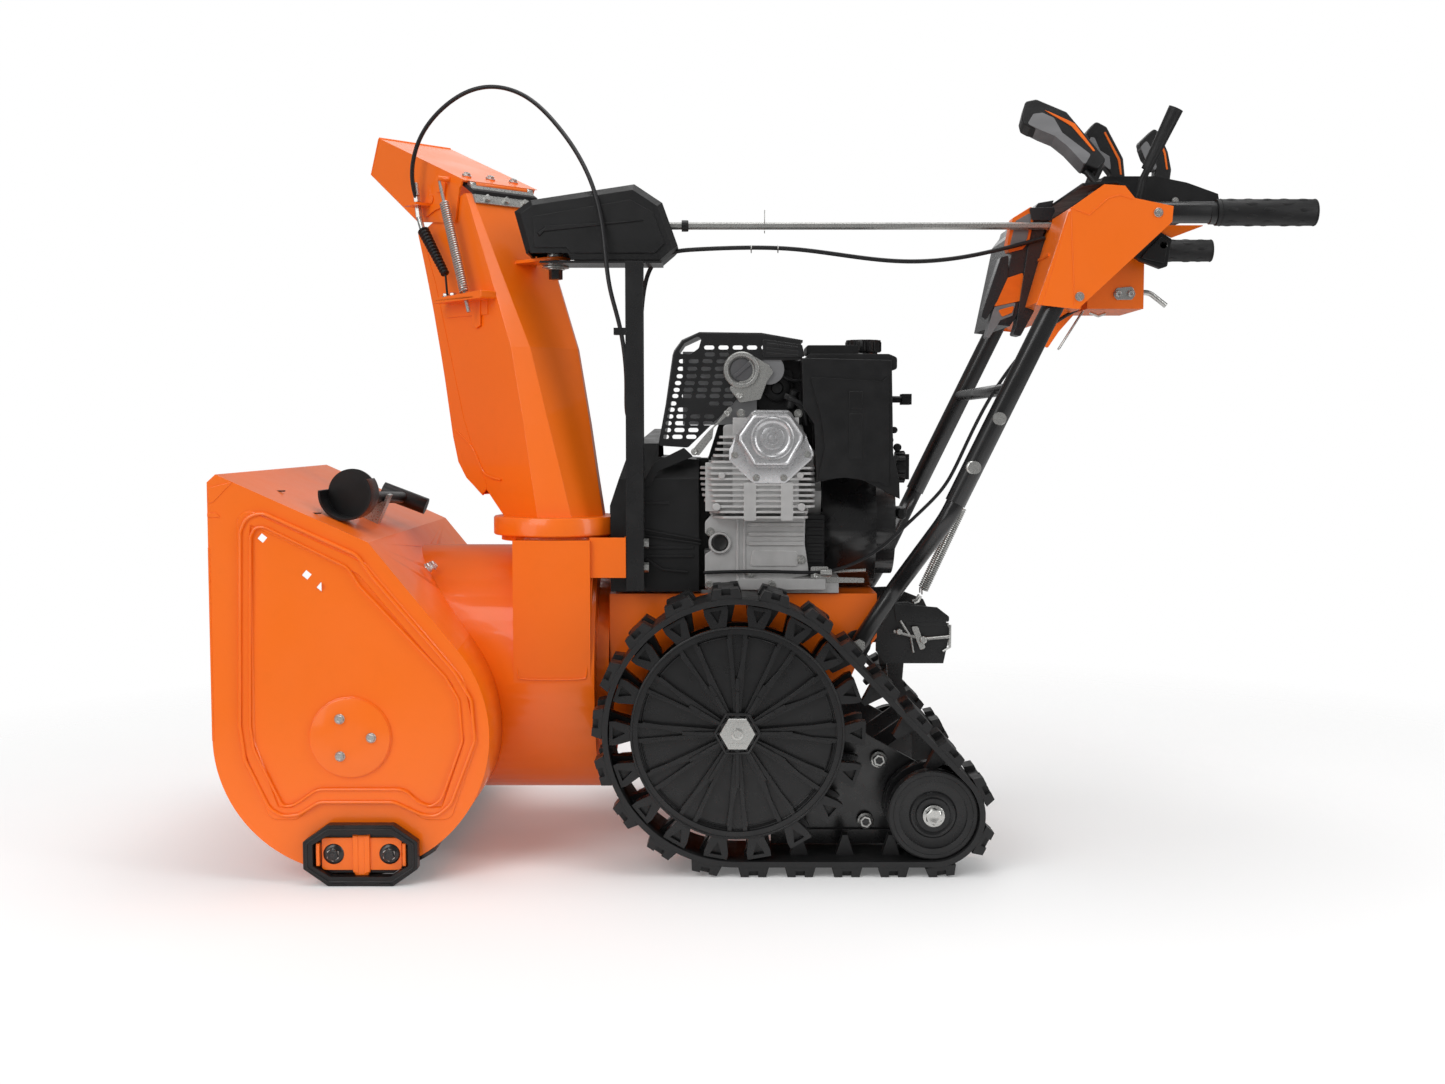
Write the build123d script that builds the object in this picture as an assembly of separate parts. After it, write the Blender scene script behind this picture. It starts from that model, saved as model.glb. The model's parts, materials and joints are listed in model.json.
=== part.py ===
from build123d import *

import math
import os

# Two stage snowblower on rubber tracks, petrol engine, 610 mm clearing width.
# Millimetres, +Z up. The machine faces -X, the operator stands at +X, and the operator's left is -Y.
# The origin is on the ground, at the middle of the machine's length and width.
# Each sub-part is one STEP file in parts/, named after its node.

# ---------------------------------------------------------------- driving dimensions
HALF_LENGTH = 772.0  # front edge of the auger housing to the ends of the grips, halved
SHEET = 3.0  # sheet metal of the housings
HOUSING_HALF = 311.0  # outer face of a side plate
AUGER_X, AUGER_Z = -579.0, 205.0  # auger shaft
HOUSING_R = 193.0  # wrap of the auger housing around the auger shaft
AUGER_R = 178.0
IMPELLER_Z = 262.0  # impeller shaft, above the auger shaft
DRUM_R = 190.0
DRUM_BACK = -249.0
FRAME_FRONT = -230.0

IMPELLER_R = 180.0
CHUTE_X, CHUTE_Y = -311.0, -95.0  # vertical axis that the chute turns on
RING_R = 94.0
DUCT_HALF_X = 56.5
DUCT_TOP = 471.0
ROD_Z = 936.5
CHUTE_TURN = -45.0  # the chute stands turned this far from straight ahead

CRANK_TEETH, CHUTE_TEETH = 27, 12
CRANK_PITCH_R = 33.0
HINGE_P, HINGE_Z = 134.0, 1006.0  # deflector hinge: ahead of the chute's axis, height

FRAME_HALF = 135.0  # outer face of the chassis sides
FRAME_TOP = 388.0
AXLE_X, AXLE_Z = -40.0, 205.0
IDLER_X, IDLER_Z = 238.0, 87.0
WHEEL_R, IDLER_R = 181.0, 64.0
BELT_IN_R, IDLER_IN_R = 183.0, 65.0  # inner face of the track round the wheel and the idler
BELT_T, LUG_T = 8.0, 14.0
LUG_COUNT = 22
TRACK_OUT, TRACK_IN = 289.0, 169.0  # lateral faces of a track, each side of the middle
TUBE_Y = 240.0  # handlebar tubes and grips
GRIP_Z = 937.0
HANDLE_LOW = (270.0, 528.0)  # lower end of an upper tube
CONSOLE_HALF = 259.0  # inner face of a console side plate, outside the handlebar tubes
CRANK_AXIS_Y, CRANK_AXIS_Z = 10.0, 490.0  # engine crankshaft
SKID_X, SKID_LIFT = -563.5, 43.0
SPEED_PIVOT, SPEED_Y = (540.0, 915.0), 59.0  # console levers
TILT_PIVOT, TILT_Y = (625.0, 925.0), 119.0
GAP = 0.5


# ---------------------------------------------------------------- small helpers
def smooth_path(points):
    """Straight runs joined by tangent arcs, each as large as its two runs allow."""
    spots = [Vector(*p) for p in points]
    edges, start = [], spots[0]
    for a, b, c in zip(spots, spots[1:], spots[2:]):
        back, on = (a - b), (c - b)
        turn = math.pi - math.radians(back.get_angle(on))
        reach = 0.45 * min(back.length, on.length)
        radius = reach / math.tan(turn / 2)
        u, v = back.normalized(), on.normalized()
        middle = b + (u + v).normalized() * (math.hypot(radius, reach) - radius)
        first, last = b + u * reach, b + v * reach
        edges += [Line(start, first), ThreePointArc(first, middle, last)]
        start = last
    return Wire([*edges, Line(start, spots[-1])])


def cable(points, r):
    path = smooth_path(points)
    print(f"  cable length {path.length:.0f} mm")
    return sweep(Plane(origin=path @ 0, z_dir=path % 0) * Circle(r), path)


def turned(shape, angle=CHUTE_TURN):
    """Turn a shape about the chute's vertical axis."""
    return Pos(CHUTE_X, CHUTE_Y) * Rot(0, 0, angle) * Pos(-CHUTE_X, -CHUTE_Y) * shape


def on_chute(p, q, z):
    """Point p ahead of the chute's axis and q to its left, at height z, at rest."""
    t = math.radians(CHUTE_TURN)
    return (CHUTE_X - p * math.cos(t) + q * math.sin(t), CHUTE_Y - p * math.sin(t) - q * math.cos(t), z)


def block(x0, x1, y0, y1, z0, z1):
    """Box between two corners."""
    return Pos((x0 + x1) / 2, (y0 + y1) / 2, (z0 + z1) / 2) * Box(x1 - x0, y1 - y0, z1 - z0)


def along_x(x0, x1, y, z, r):
    return Pos((x0 + x1) / 2, y, z) * Rot(0, 90, 0) * Cylinder(r, x1 - x0)


def along_y(x, y0, y1, z, r):
    return Pos(x, (y0 + y1) / 2, z) * Rot(90, 0, 0) * Cylinder(r, y1 - y0)


def along_z(x, y, z0, z1, r):
    return Pos(x, y, (z0 + z1) / 2) * Cylinder(r, z1 - z0)


def rod(p, q, r):
    """Round bar between two points."""
    a, b = Vector(*p), Vector(*q)
    d = b - a
    return Plane(origin=a, z_dir=d) * Pos(0, 0, d.length / 2) * Cylinder(r, d.length)


def side_plane(y):
    """Plane at that Y whose sketch axes are X and Z; it extrudes towards -Y."""
    return Plane(origin=(0, y, 0), x_dir=(1, 0, 0), z_dir=(0, -1, 0))


def prism_y(points, y0, y1):
    """Outline in X and Z, from y0 to y1."""
    face = make_face(Polyline(*points, close=True))
    return extrude(side_plane(y1) * face, amount=y1 - y0)


def prism_x(points, x0, x1):
    """Outline in Y and Z, from x0 to x1."""
    face = make_face(Polyline(*points, close=True))
    return extrude(Plane(origin=(x0, 0, 0), x_dir=(0, 1, 0), z_dir=(1, 0, 0)) * face, amount=x1 - x0)


def prism_z(points, z0, z1):
    """Outline in X and Y, from z0 to z1."""
    face = make_face(Polyline(*points, close=True))
    return extrude(Plane(origin=(0, 0, z0)) * face, amount=z1 - z0)


def pipe(points, radius, r, inner=0.0):
    """Round tube along straight runs joined by arcs."""
    path = FilletPolyline(*points, radius=radius) if len(points) > 2 else Line(*points)
    section = Circle(r) - Circle(inner) if inner else Circle(r)
    return sweep(Plane(origin=path @ 0, z_dir=path % 0) * section, path)


def hexagon(x, y, z, direction, across, height):
    """Hexagon bolt head or nut standing on a point, along a direction."""
    prism = extrude(RegularPolygon(across / 2, 6, major_radius=False), amount=height)
    return Plane(origin=(x, y, z), z_dir=direction) * prism


def mirrored(shape):
    return mirror(shape, about=Plane.XZ)


def both_sides(shape):
    return Compound(children=[*shape.solids(), *mirrored(shape).solids()])


def group(*shapes):
    """Separate solids kept in one node."""
    return Compound(children=[s for shape in shapes for s in shape.solids()])


def grown(points, offset):
    """A convex outline moved outwards by offset, or inwards if it is negative."""
    centre_x = sum(p[0] for p in points) / len(points)
    centre_z = sum(p[1] for p in points) / len(points)
    moved = []
    count = len(points)
    for i in range(count):
        lines = []
        for a, b in ((points[i - 1], points[i]), (points[i], points[(i + 1) % count])):
            dx, dz = b[0] - a[0], b[1] - a[1]
            length = math.hypot(dx, dz)
            nx, nz = dz / length, -dx / length
            if (a[0] - centre_x) * nx + (a[1] - centre_z) * nz < 0:
                nx, nz = -nx, -nz
            lines.append((nx, nz, a[0] * nx + a[1] * nz + offset))
        (a1, b1, c1), (a2, b2, c2) = lines
        det = a1 * b2 - a2 * b1
        moved.append(((c1 * b2 - c2 * b1) / det, (a1 * c2 - a2 * c1) / det))
    return moved


# ---------------------------------------------------------------- auger housing
BEAD = (
    (-731, 530), (-553, 448), (-420, 288), (-402, 200), (-440, 88), (-478, 88), (-514, 113),
    (-624, 113), (-656, 88), (-694, 88), (-731, 196),
)


def side_bead():
    """Raised loop pressed into the left side plate; it rises over the skid shoe."""
    outer = make_face(Polyline(*BEAD, close=True))
    outer = fillet(outer.vertices(), 17)
    inner = offset(outer, -19)
    loop = extrude(side_plane(-HOUSING_HALF + 1) * (outer - inner), amount=3.2)
    return chamfer(loop.faces().sort_by(Axis.Y)[0].edges(), 1.6)


HOUSING_BEND = (-551.0, 477.0)


def housing_face(offset):
    """Side outline of the housing, moved inwards by offset: a half circle, a slope, a top and a front."""
    r = HOUSING_R - offset
    bend_x, bend_z = HOUSING_BEND[0] - 0.45 * offset, HOUSING_BEND[1] - offset
    reach = math.hypot(bend_x - AUGER_X, bend_z - AUGER_Z)
    angle = math.atan2(bend_z - AUGER_Z, bend_x - AUGER_X) - math.acos(r / reach)
    tangent = (AUGER_X + r * math.cos(angle), AUGER_Z + r * math.sin(angle))
    front = AUGER_X - r
    top = (front + 12, 571 - offset)
    middle = (AUGER_X + r * math.cos(-math.pi / 4), AUGER_Z + r * math.sin(-math.pi / 4))
    edges = [
        ThreePointArc(tangent, middle, (front, AUGER_Z)),
        Line((front, AUGER_Z), (front, 560 - offset)),
        Line((front, 560 - offset), top),
        Line(top, (bend_x, bend_z)),
        Line((bend_x, bend_z), tangent),
    ]
    return make_face(Wire(edges))


def housing_solid(offset, half_width):
    return extrude(side_plane(half_width) * housing_face(offset), amount=2 * half_width)


def auger_housing():
    inside = HOUSING_HALF - SHEET
    shell = housing_solid(0, HOUSING_HALF) - housing_solid(SHEET, inside)
    mouth = [(-800, -20), (-592, -20), (-592, 300), (-768, 555), (-800, 555)]
    shell -= prism_y(mouth, -inside, inside)
    shell -= along_x(-620, -300, 0, IMPELLER_Z, DRUM_R - SHEET)
    bead = side_bead()
    shell += [bead, mirrored(bead)]
    for side in (-1, 1):
        outer = side * HOUSING_HALF
        disc = along_y(AUGER_X, min(outer, outer + 4 * side), max(outer, outer + 4 * side), AUGER_Z, 56)
        shell += disc
        low, high = sorted((outer - 10 * side, outer + 2.5 * side))
        shell -= along_y(AUGER_X, low, high, AUGER_Z, 17.2)
        for x, z in ((-697, 483), (-636.5, 432), (-616.5, 415)):
            shell -= Pos(x, outer, z) * Rot(0, 40, 0) * Box(10, 20, 10)
    return shell


def scraper_blade():
    """Replaceable wear strip under the rear of the housing, bent to its curve."""
    outer, inner = HOUSING_R + 6, HOUSING_R + GAP
    ring = along_y(AUGER_X, -HOUSING_HALF + 4, HOUSING_HALF - 4, AUGER_Z, outer)
    ring -= along_y(AUGER_X, -HOUSING_HALF, HOUSING_HALF, AUGER_Z, inner)
    wedge = [(AUGER_X, AUGER_Z), (AUGER_X - 55, -60), (AUGER_X + 190, -60)]
    return ring & prism_y(wedge, -HOUSING_HALF, HOUSING_HALF)


# ---------------------------------------------------------------- skid shoes
def octagon(x, z, half_x, half_z, cut_x, cut_z):
    return [
        (x - half_x, z - half_z + cut_z), (x - half_x, z + half_z - cut_z),
        (x - half_x + cut_x, z + half_z), (x + half_x - cut_x, z + half_z),
        (x + half_x, z + half_z - cut_z), (x + half_x, z - half_z + cut_z),
        (x + half_x - cut_x, z - half_z), (x - half_x + cut_x, z - half_z),
    ]


SKID_BOLTS = (SKID_X - 39, SKID_X + 39)


def skid():
    """Left skid: a moulded runner round a steel plate with two height slots."""
    face = -HOUSING_HALF
    runner = prism_y(octagon(SKID_X, SKID_LIFT, 79.5, 43, 34, 24), face - 22, face - 5.5)
    runner -= prism_y(octagon(SKID_X, SKID_LIFT, 66, 30, 24, 15), face - 30, face)
    plate = prism_y(octagon(SKID_X, SKID_LIFT + 1, 65.5, 29, 22, 15), face - 10, face - 6)
    plate += block(SKID_X - 12, SKID_X + 12, face - 14, face - 9, SKID_LIFT - 27, SKID_LIFT + 29)
    for x in SKID_BOLTS:
        plate -= block(x - 6.5, x + 6.5, face - 20, face, SKID_LIFT - 18, SKID_LIFT + 18)
    return group(runner, plate)


def skid_bolts():
    face = -HOUSING_HALF
    shapes = []
    for x in SKID_BOLTS:
        bolt = along_y(x, face - 20, face, SKID_LIFT, 5)
        bolt += along_y(x, face - 13, face - 10.6, SKID_LIFT, 13)
        bolt += hexagon(x, face - 12, SKID_LIFT, (0, -1, 0), 16, 6)
        shapes.append(bolt)
    return group(*shapes)


# ---------------------------------------------------------------- impeller housing with its duct
def impeller_housing():
    """Drum, the duct that rises on its left to the chute's collar, a rear neck, and the post's bracket."""
    drum = along_x(-600, DRUM_BACK, 0, IMPELLER_Z, DRUM_R)
    duct = block(CHUTE_X - DUCT_HALF_X, CHUTE_X + DUCT_HALF_X, -DRUM_R, 0, IMPELLER_Z, DUCT_TOP)
    collar = along_z(CHUTE_X, CHUTE_Y, DUCT_TOP - SHEET, DUCT_TOP + 22, RING_R - 10)
    neck = along_x(DRUM_BACK - 1, FRAME_FRONT - 0.5, 0, IMPELLER_Z, 150)
    neck -= along_x(DRUM_BACK, FRAME_FRONT + 10, 0, IMPELLER_Z, 147)
    shell = drum + [duct, collar]
    shell -= along_x(-620, DRUM_BACK - SHEET, 0, IMPELLER_Z, DRUM_R - SHEET)
    inner_x = DUCT_HALF_X - SHEET
    shell -= block(CHUTE_X - inner_x, CHUTE_X + inner_x, -DRUM_R + SHEET, -SHEET, IMPELLER_Z, DUCT_TOP - SHEET)
    throat = along_z(CHUTE_X, CHUTE_Y, DUCT_TOP - 5, DUCT_TOP, RING_R - 13)
    shell -= throat & block(CHUTE_X - inner_x, CHUTE_X + inner_x, -200, 20, 400, 600)
    shell -= along_z(CHUTE_X, CHUTE_Y, DUCT_TOP, DUCT_TOP + 30, RING_R - 13)
    shell -= housing_solid(0, HOUSING_HALF)
    shell += [neck, block(CHUTE_X + DUCT_HALF_X - 1, -202.5, -183, -180, 416, 475)]
    shell -= along_x(-300, -200, 0, IMPELLER_Z, 16)
    return shell + block(-205.5, -202.5, -183, -148, 416, 475)


# ---------------------------------------------------------------- augers, gear case and impeller
def auger_gearcase():
    case = along_y(AUGER_X, -46, 46, AUGER_Z, 52)
    case += along_x(AUGER_X - 66, AUGER_X + 84, 0, IMPELLER_Z, 32)
    case -= along_y(AUGER_X, -60, 60, AUGER_Z, 17.6)
    case -= along_x(AUGER_X - 56, AUGER_X + 90, 0, IMPELLER_Z, 13.6)
    case -= along_y(AUGER_X, -22, 22, AUGER_Z, 43)
    case -= along_x(AUGER_X - 40, AUGER_X + 40, 0, IMPELLER_Z, 22)
    return case


def worm_wheel():
    """Bronze gear on the auger shaft, inside the gear case."""
    wheel = along_y(AUGER_X, -14, 14, AUGER_Z, 34)
    for i in range(20):
        tooth = Pos(36, 0, 0) * Box(7, 24, 5)
        wheel += Pos(AUGER_X, 0, AUGER_Z) * Rot(0, i * 18, 0) * tooth
    return wheel - along_y(AUGER_X, -20, 20, AUGER_Z, 17.0)


def auger_shaft():
    """Shaft across the housing, with the bronze worm wheel on its middle as a second solid."""
    shaft = along_y(AUGER_X, -HOUSING_HALF - 2, HOUSING_HALF + 2, AUGER_Z, 17)
    for low, high in ((-HOUSING_HALF - 3, -60), (60, HOUSING_HALF + 3)):
        shaft -= along_y(AUGER_X, low, high, AUGER_Z, 11)
    return group(shaft, worm_wheel())


def impeller_drive():
    """Shaft from the gear case to the rear, and the pulley on it."""
    return group(impeller_shaft(), impeller_pulley())


def auger_flight(hand):
    """Ribbon flight of one auger on its sleeve: one and a third turns, joined by flat spokes."""
    start, reach = 62.0, 236.0
    pitch = reach / 1.33
    ribbon_mid = AUGER_R - 24
    helix = Helix(pitch=pitch, height=reach, radius=ribbon_mid, lefthand=hand < 0)
    section = Plane(origin=helix @ 0, x_dir=(1, 0, 0), z_dir=helix % 0) * Rectangle(46, 5)
    ribbon = sweep(section, path=helix, is_frenet=True)
    spokes = []
    for share in (0.06, 0.5, 0.94):
        point = helix @ share
        angle = math.degrees(math.atan2(point.Y, point.X))
        spoke = Pos(0, 0, point.Z) * Rot(0, 0, angle) * Pos(75, 0, 0) * Box(116, 28, 8)
        spokes.append(spoke)
    sleeve = Pos(0, 0, reach / 2) * Cylinder(23, reach + 4)
    body = ribbon + sleeve
    for spoke in spokes:
        body += spoke
    body -= Pos(0, 0, reach / 2) * Cylinder(17.0, reach + 20)
    return Pos(AUGER_X, -start if hand < 0 else start, AUGER_Z) * Rot(90 if hand < 0 else -90, 0, 0) * body


def impeller():
    hub = along_x(-425, -262, 0, IMPELLER_Z, 24)
    wheel = hub + along_x(-268, -262, 0, IMPELLER_Z, 150)
    blade = Pos(0, 0, 95) * Box(118, 5, 2 * (IMPELLER_R - 95))
    tip = Pos(0, 14, IMPELLER_R - 9) * Box(118, 28, 5)
    blade = blade + tip
    for i in range(4):
        wheel += Pos(-323, 0, IMPELLER_Z) * Rot(i * 90 + 30, 0, 0) * blade
    return wheel - along_x(-440, -250, 0, IMPELLER_Z, 13)


def impeller_shaft():
    """Shaft from the gear case to the belt pulley, with the worm cut into it."""
    shaft = along_x(AUGER_X - 52, -118, 0, IMPELLER_Z, 13)
    return shaft + along_x(AUGER_X - 30, AUGER_X + 30, 0, IMPELLER_Z, 16)


def pulley(x, y, z, r, bore, width=20):
    """Belt pulley on an axis along X, with a V groove."""
    wheel = along_x(x - width / 2, x + width / 2, y, z, r)
    groove = [(-width / 2 + 3, r + 1), (width / 2 - 3, r + 1), (2.5, r - 11), (-2.5, r - 11)]
    ring = revolve(make_face(Polyline(*groove, close=True)), axis=Axis.X)
    return wheel - Pos(x, y, z) * ring - along_x(x - width, x + width, y, z, bore)


PULLEY_X = -150.0


def impeller_pulley():
    return pulley(PULLEY_X, 0, IMPELLER_Z, 78, 13)


# ---------------------------------------------------------------- chute and deflector
# Height, front, rear, half width, front corner cut, rear corner cut
CHUTE_SECTIONS = (
    (503, -70, 72, 66, 26, 35),
    (571, -50, 136, 66, 14, 31),
    (640, -30, 159, 66, 8, 26),
    (755, 5, 196, 66, 8, 20),
    (882, 70, 240, 66, 8, 12),
    (1006, 134, 284, 66, 8, 6),
)


def chute_section(row, wall):
    z, rear, front, half, cut_f, cut_r = row
    back, nose, half = CHUTE_X - rear - wall, CHUTE_X - front + wall, half - wall
    points = [
        (nose + cut_f, -half), (back - cut_r, -half), (back, -half + cut_r), (back, half - cut_r),
        (back - cut_r, half), (nose + cut_f, half), (nose, half - cut_f), (nose, -half + cut_f),
    ]
    shifted = [(x, y + CHUTE_Y) for x, y in points]
    return Plane(origin=(0, 0, z)) * make_face(Polyline(*shifted, close=True))


def chute_loft(wall):
    body = None
    for low, high in zip(CHUTE_SECTIONS, CHUTE_SECTIONS[1:]):
        span = loft([chute_section(low, wall), chute_section(high, wall)], ruled=True)
        body = span if body is None else body + span
    return body


def chute():
    """Turning ring, closed lower elbow, and a channel that is open to the front above it."""
    floor, top = DUCT_TOP + 5, 503.0
    ring = along_z(CHUTE_X, CHUTE_Y, floor, top, RING_R)
    ring -= along_z(CHUTE_X, CHUTE_Y, floor - 1, top - 3, RING_R - 6)
    throat = extrude(chute_section(CHUTE_SECTIONS[0], SHEET), amount=20, both=True)
    body = chute_loft(0) - chute_loft(SHEET) + (ring - throat)
    x, y = CHUTE_X, CHUTE_Y
    outlet = [
        (x - 100, 992), (x - 140, 992), (x - 262, 938), (x - 330, 938), (x - 330, 1100), (x - 100, 1100),
    ]
    body -= prism_y(outlet, y - 100, y + 100)
    slot = [(x - 140, 646), (x - 210, 640), (x - 330, 940), (x - 330, 1010), (x - 150, 1010), (x - 160, 760)]
    body -= prism_y(slot, y - 58, y + 58)
    lip = [(x - 150, 636), (x - 164, 641), (x - 172, 620), (x - 152, 590), (x - 146, 590)]
    body += prism_y(lip, y - 56, y + 56)
    tab = block(x - 72, x, y - 20, y + 20, 884, 889) + along_z(x, y, 884, 889, 22)
    body += tab - chute_loft(SHEET)
    body -= along_z(x, y, 870, 900, 6.15)
    bracket = block(x - 186, x - 80, y - 94, y - 65.5, 829, 832)
    bracket += block(x - 186, x - 80, y - 68, y - 65.5, 806, 832)
    body += bracket
    return turned(body)


def chute_fittings():
    """On the chute: the wheel that the crank turns, and the hinge pin with its leaf and bolts."""
    x, y = CHUTE_X, CHUTE_Y
    pitch_r = CRANK_PITCH_R * CHUTE_TEETH / CRANK_TEETH
    gear = along_z(x, y, 889, 897, 13) + along_z(x, y, 897, 906, pitch_r - 3)
    teeth = []
    for i in range(CHUTE_TEETH):
        tooth = Pos(pitch_r - 1, 0, 0) * Box(5.2, 2.2, 8)
        teeth.append(Pos(x, y, 902) * Rot(0, 0, i * 360 / CHUTE_TEETH - CHUTE_TURN) * tooth)
    gear = (gear + teeth) - along_z(x, y, 880, 910, 6.15)
    axis_x = x - HINGE_P
    profile = [(x - 118.2, 976), (x - 126.5, 992), (axis_x + 1, 1004), (axis_x + 4, 1007), (x - 115.4, 977.3)]
    leaf = prism_y(profile, y - 60, y + 60)
    leaf -= along_y(axis_x, y - 49.5, y + 49.5, HINGE_Z, 5.4)
    leaf += [along_y(axis_x, y - 60, y - 49.5, HINGE_Z, 4.6), along_y(axis_x, y + 49.5, y + 60, HINGE_Z, 4.6)]
    bolts = [hexagon(x - 119.5, y + s, 985, (0.889, 0, 0.459), 10, 4) for s in (-36, 0, 36)]
    return turned(group(gear, leaf + [along_y(axis_x, y - 60, y + 60, HINGE_Z, 2.5), *bolts]))


def deflector():
    """Hood over the outlet: a top sheet, two cheeks outside the chute's sides, and the tabs on its left."""
    x, y, half = CHUTE_X, CHUTE_Y, 70.0
    inner = half - SHEET
    cheek = [
        (x - 134, 1012), (x - 363, 1103), (x - 387, 1047), (x - 253, 959), (x - 157, 949), (x - 145, 1000),
    ]
    top = [(x - 131, 1011), (x - 363, 1103), (x - 361.8, 1100.2), (x - 131, 1007.5)]
    body = prism_y(top, y - half, y + half)
    body += [prism_y(cheek, y - half, y - inner), prism_y(cheek, y + inner, y + half)]
    body += along_y(x - HINGE_P, y - 49, y + 49, HINGE_Z, 4.6)
    body -= along_y(x - HINGE_P, y - 80, y + 80, HINGE_Z, 2.6)
    for y0, y1 in ((y - 80, y - 49), (y + 49, y + 80)):
        body -= along_y(x - HINGE_P, y0, y1, HINGE_Z, 5.2)
    tab = block(x - 252, x - 216, y - half - 30, y - half + 1, 980, 984)
    stud = along_y(x - 171, y - half - 22, y - half + 1, HINGE_Z + 10, 4)
    body += [tab, stud]
    for s in (-45, 0, 45):
        body += Plane(origin=(x - 158, y + s, 1020), z_dir=(0.37, 0, 0.93)) * Cylinder(6, 7)
    return turned(body)


def deflector_spring():
    return rod(on_chute(170, 88, 1003), on_chute(99, 88, 836), 6.5)


CABLE_TAB = (234.0, 85.0, 985.2)  # ahead of the chute's axis, to its left, height

CABLE_LOOP = (
    (-452, -60, 1075), (-446, -20, 1124), (-412, -20, 1147), (-370, -50, 1152), (-325, -92, 1140),
    (-287, -128, 1094), (-256, -158, 1034), (-234, -172, 968), (-222, -178, 896), (-214, -176, 820),
    (-212, -172, 750), (-208, -146, 694), (-192, -118, 650),
    (-188, -90, 634), (-187, -66, 656), (-187, -61, 710), (-186, -62, 800), (-178, -70, 872),
    (-150, -92, 899), (-100, -95, 902), (-30, -95, 905), (45, -95, 904), (120, -95, 893), (195, -95, 883),
    (270, -95, 884), (340, -95, 897), (421.5, -95, 919),
)


def deflector_cable():
    """Sheathed cable from the deflector's tab, over in a loop, down the post, and back to the console."""
    start = on_chute(*CABLE_TAB)
    above = on_chute(CABLE_TAB[0] + 8, CABLE_TAB[1], 1030)
    sheath = cable([start, above, *CABLE_LOOP], 3.2)
    boot = rod(on_chute(178, 86, 906), on_chute(155, 86, 858), 7)
    wire = rod(on_chute(230, 86, 977), on_chute(178.4, 86, 907), 1.6)
    return group(sheath, boot, wire)


# ---------------------------------------------------------------- chute post, gear cover and crank
def chute_post():
    """Square post with the bearing plate under the gear cover and the pivot that carries the chute's top."""
    post = block(-202, -176.5, -180, -150, 397, 876) - block(-199.5, -170, -177.5, -152.5, 390, 873.5)
    plate = block(-329, -150, -150.5, -79, 876, 879.5)
    pivot = along_z(CHUTE_X, CHUTE_Y, 872, 907, 6)
    pivot += hexagon(CHUTE_X, CHUTE_Y, 857, (0, 0, 1), 18, 19)
    pivot += along_z(CHUTE_X, CHUTE_Y, 906.5, 910, 9)
    clip = block(-219, -201, -181, -166, 770, 780) - along_z(-212.7, -173.4, 760, 790, 4.4)
    return post + [plate, pivot, clip]


COVER_SIDE = [
    (-367, 952), (-343, 969), (-190.5, 992), (-149.5, 965), (-127, 903), (-153, 881), (-283, 881),
    (-288, 891), (-350, 891),
]


COVER_HALF = 50.0


def cover_body(wall):
    """Faceted hood: the full outline in the middle, drawn in towards each side face."""
    half = COVER_HALF - wall
    outline = grown(COVER_SIDE, -wall)
    body = prism_y(outline, CHUTE_Y - half, CHUTE_Y + half)
    edges = [e for e in body.edges() if abs(e.center().Y - CHUTE_Y) > half - 1 and e.center().Z > 920]
    return chamfer(edges, 9)


def gearbox_cover():
    """Hood over the crank gears, open below, with the holes for the rod and the cable at its rear."""
    half = COVER_HALF - SHEET
    shell = cover_body(0) - cover_body(SHEET)
    shell -= block(-285, -156, CHUTE_Y - half, CHUTE_Y + half, 870, 886)
    shell -= block(-346, -284, CHUTE_Y - half, CHUTE_Y + half, 870, 896)
    shell -= along_x(-200, -100, CHUTE_Y, ROD_Z, 9)
    shell -= along_x(-200, -100, CHUTE_Y + 1.5, 900.3, 7)
    facet = [
        (-338, 944), (-196, 968), (-163, 950), (-146, 905), (-160, 891), (-283, 891), (-290, 899), (-336, 899),
    ]
    for y in (CHUTE_Y - COVER_HALF - 2.5, CHUTE_Y + COVER_HALF - 0.5):
        shell += prism_y(facet, y, y + 3)
    return shell


def crank_rod():
    """Hexagon rod from the gear in the hood to the console, with the gear as a second solid."""
    start, end = CHUTE_X + 22, 522
    shape = extrude(RegularPolygon(4.75, 6, major_radius=False), amount=end - start)
    return group(Plane(origin=(start, CHUTE_Y, ROD_Z), z_dir=(1, 0, 0)) * shape, crank_gear())


LEVER_LEAN = 20.0


def crank_gear():
    """Disc with face teeth that engage the chute gear, on the front end of the rod."""
    x = CHUTE_X + CRANK_PITCH_R * CHUTE_TEETH / CRANK_TEETH
    gear = along_x(x + 4.3, x + 10, CHUTE_Y, ROD_Z, CRANK_PITCH_R + 3)
    gear += along_x(x + 10, x + 26, CHUTE_Y, ROD_Z, 13)
    teeth = []
    for i in range(CRANK_TEETH):
        tooth = Pos(x + 2.6, 0, -CRANK_PITCH_R) * Box(3.8, 2.2, 6)
        teeth.append(Pos(0, CHUTE_Y, ROD_Z) * Rot((i + 0.5) * 360 / CRANK_TEETH, 0, 0) * tooth)
    bore = extrude(RegularPolygon(4.75, 6, major_radius=False), amount=60)
    return (gear + teeth) - Plane(origin=(x - 10, CHUTE_Y, ROD_Z), z_dir=(1, 0, 0)) * bore


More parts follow.
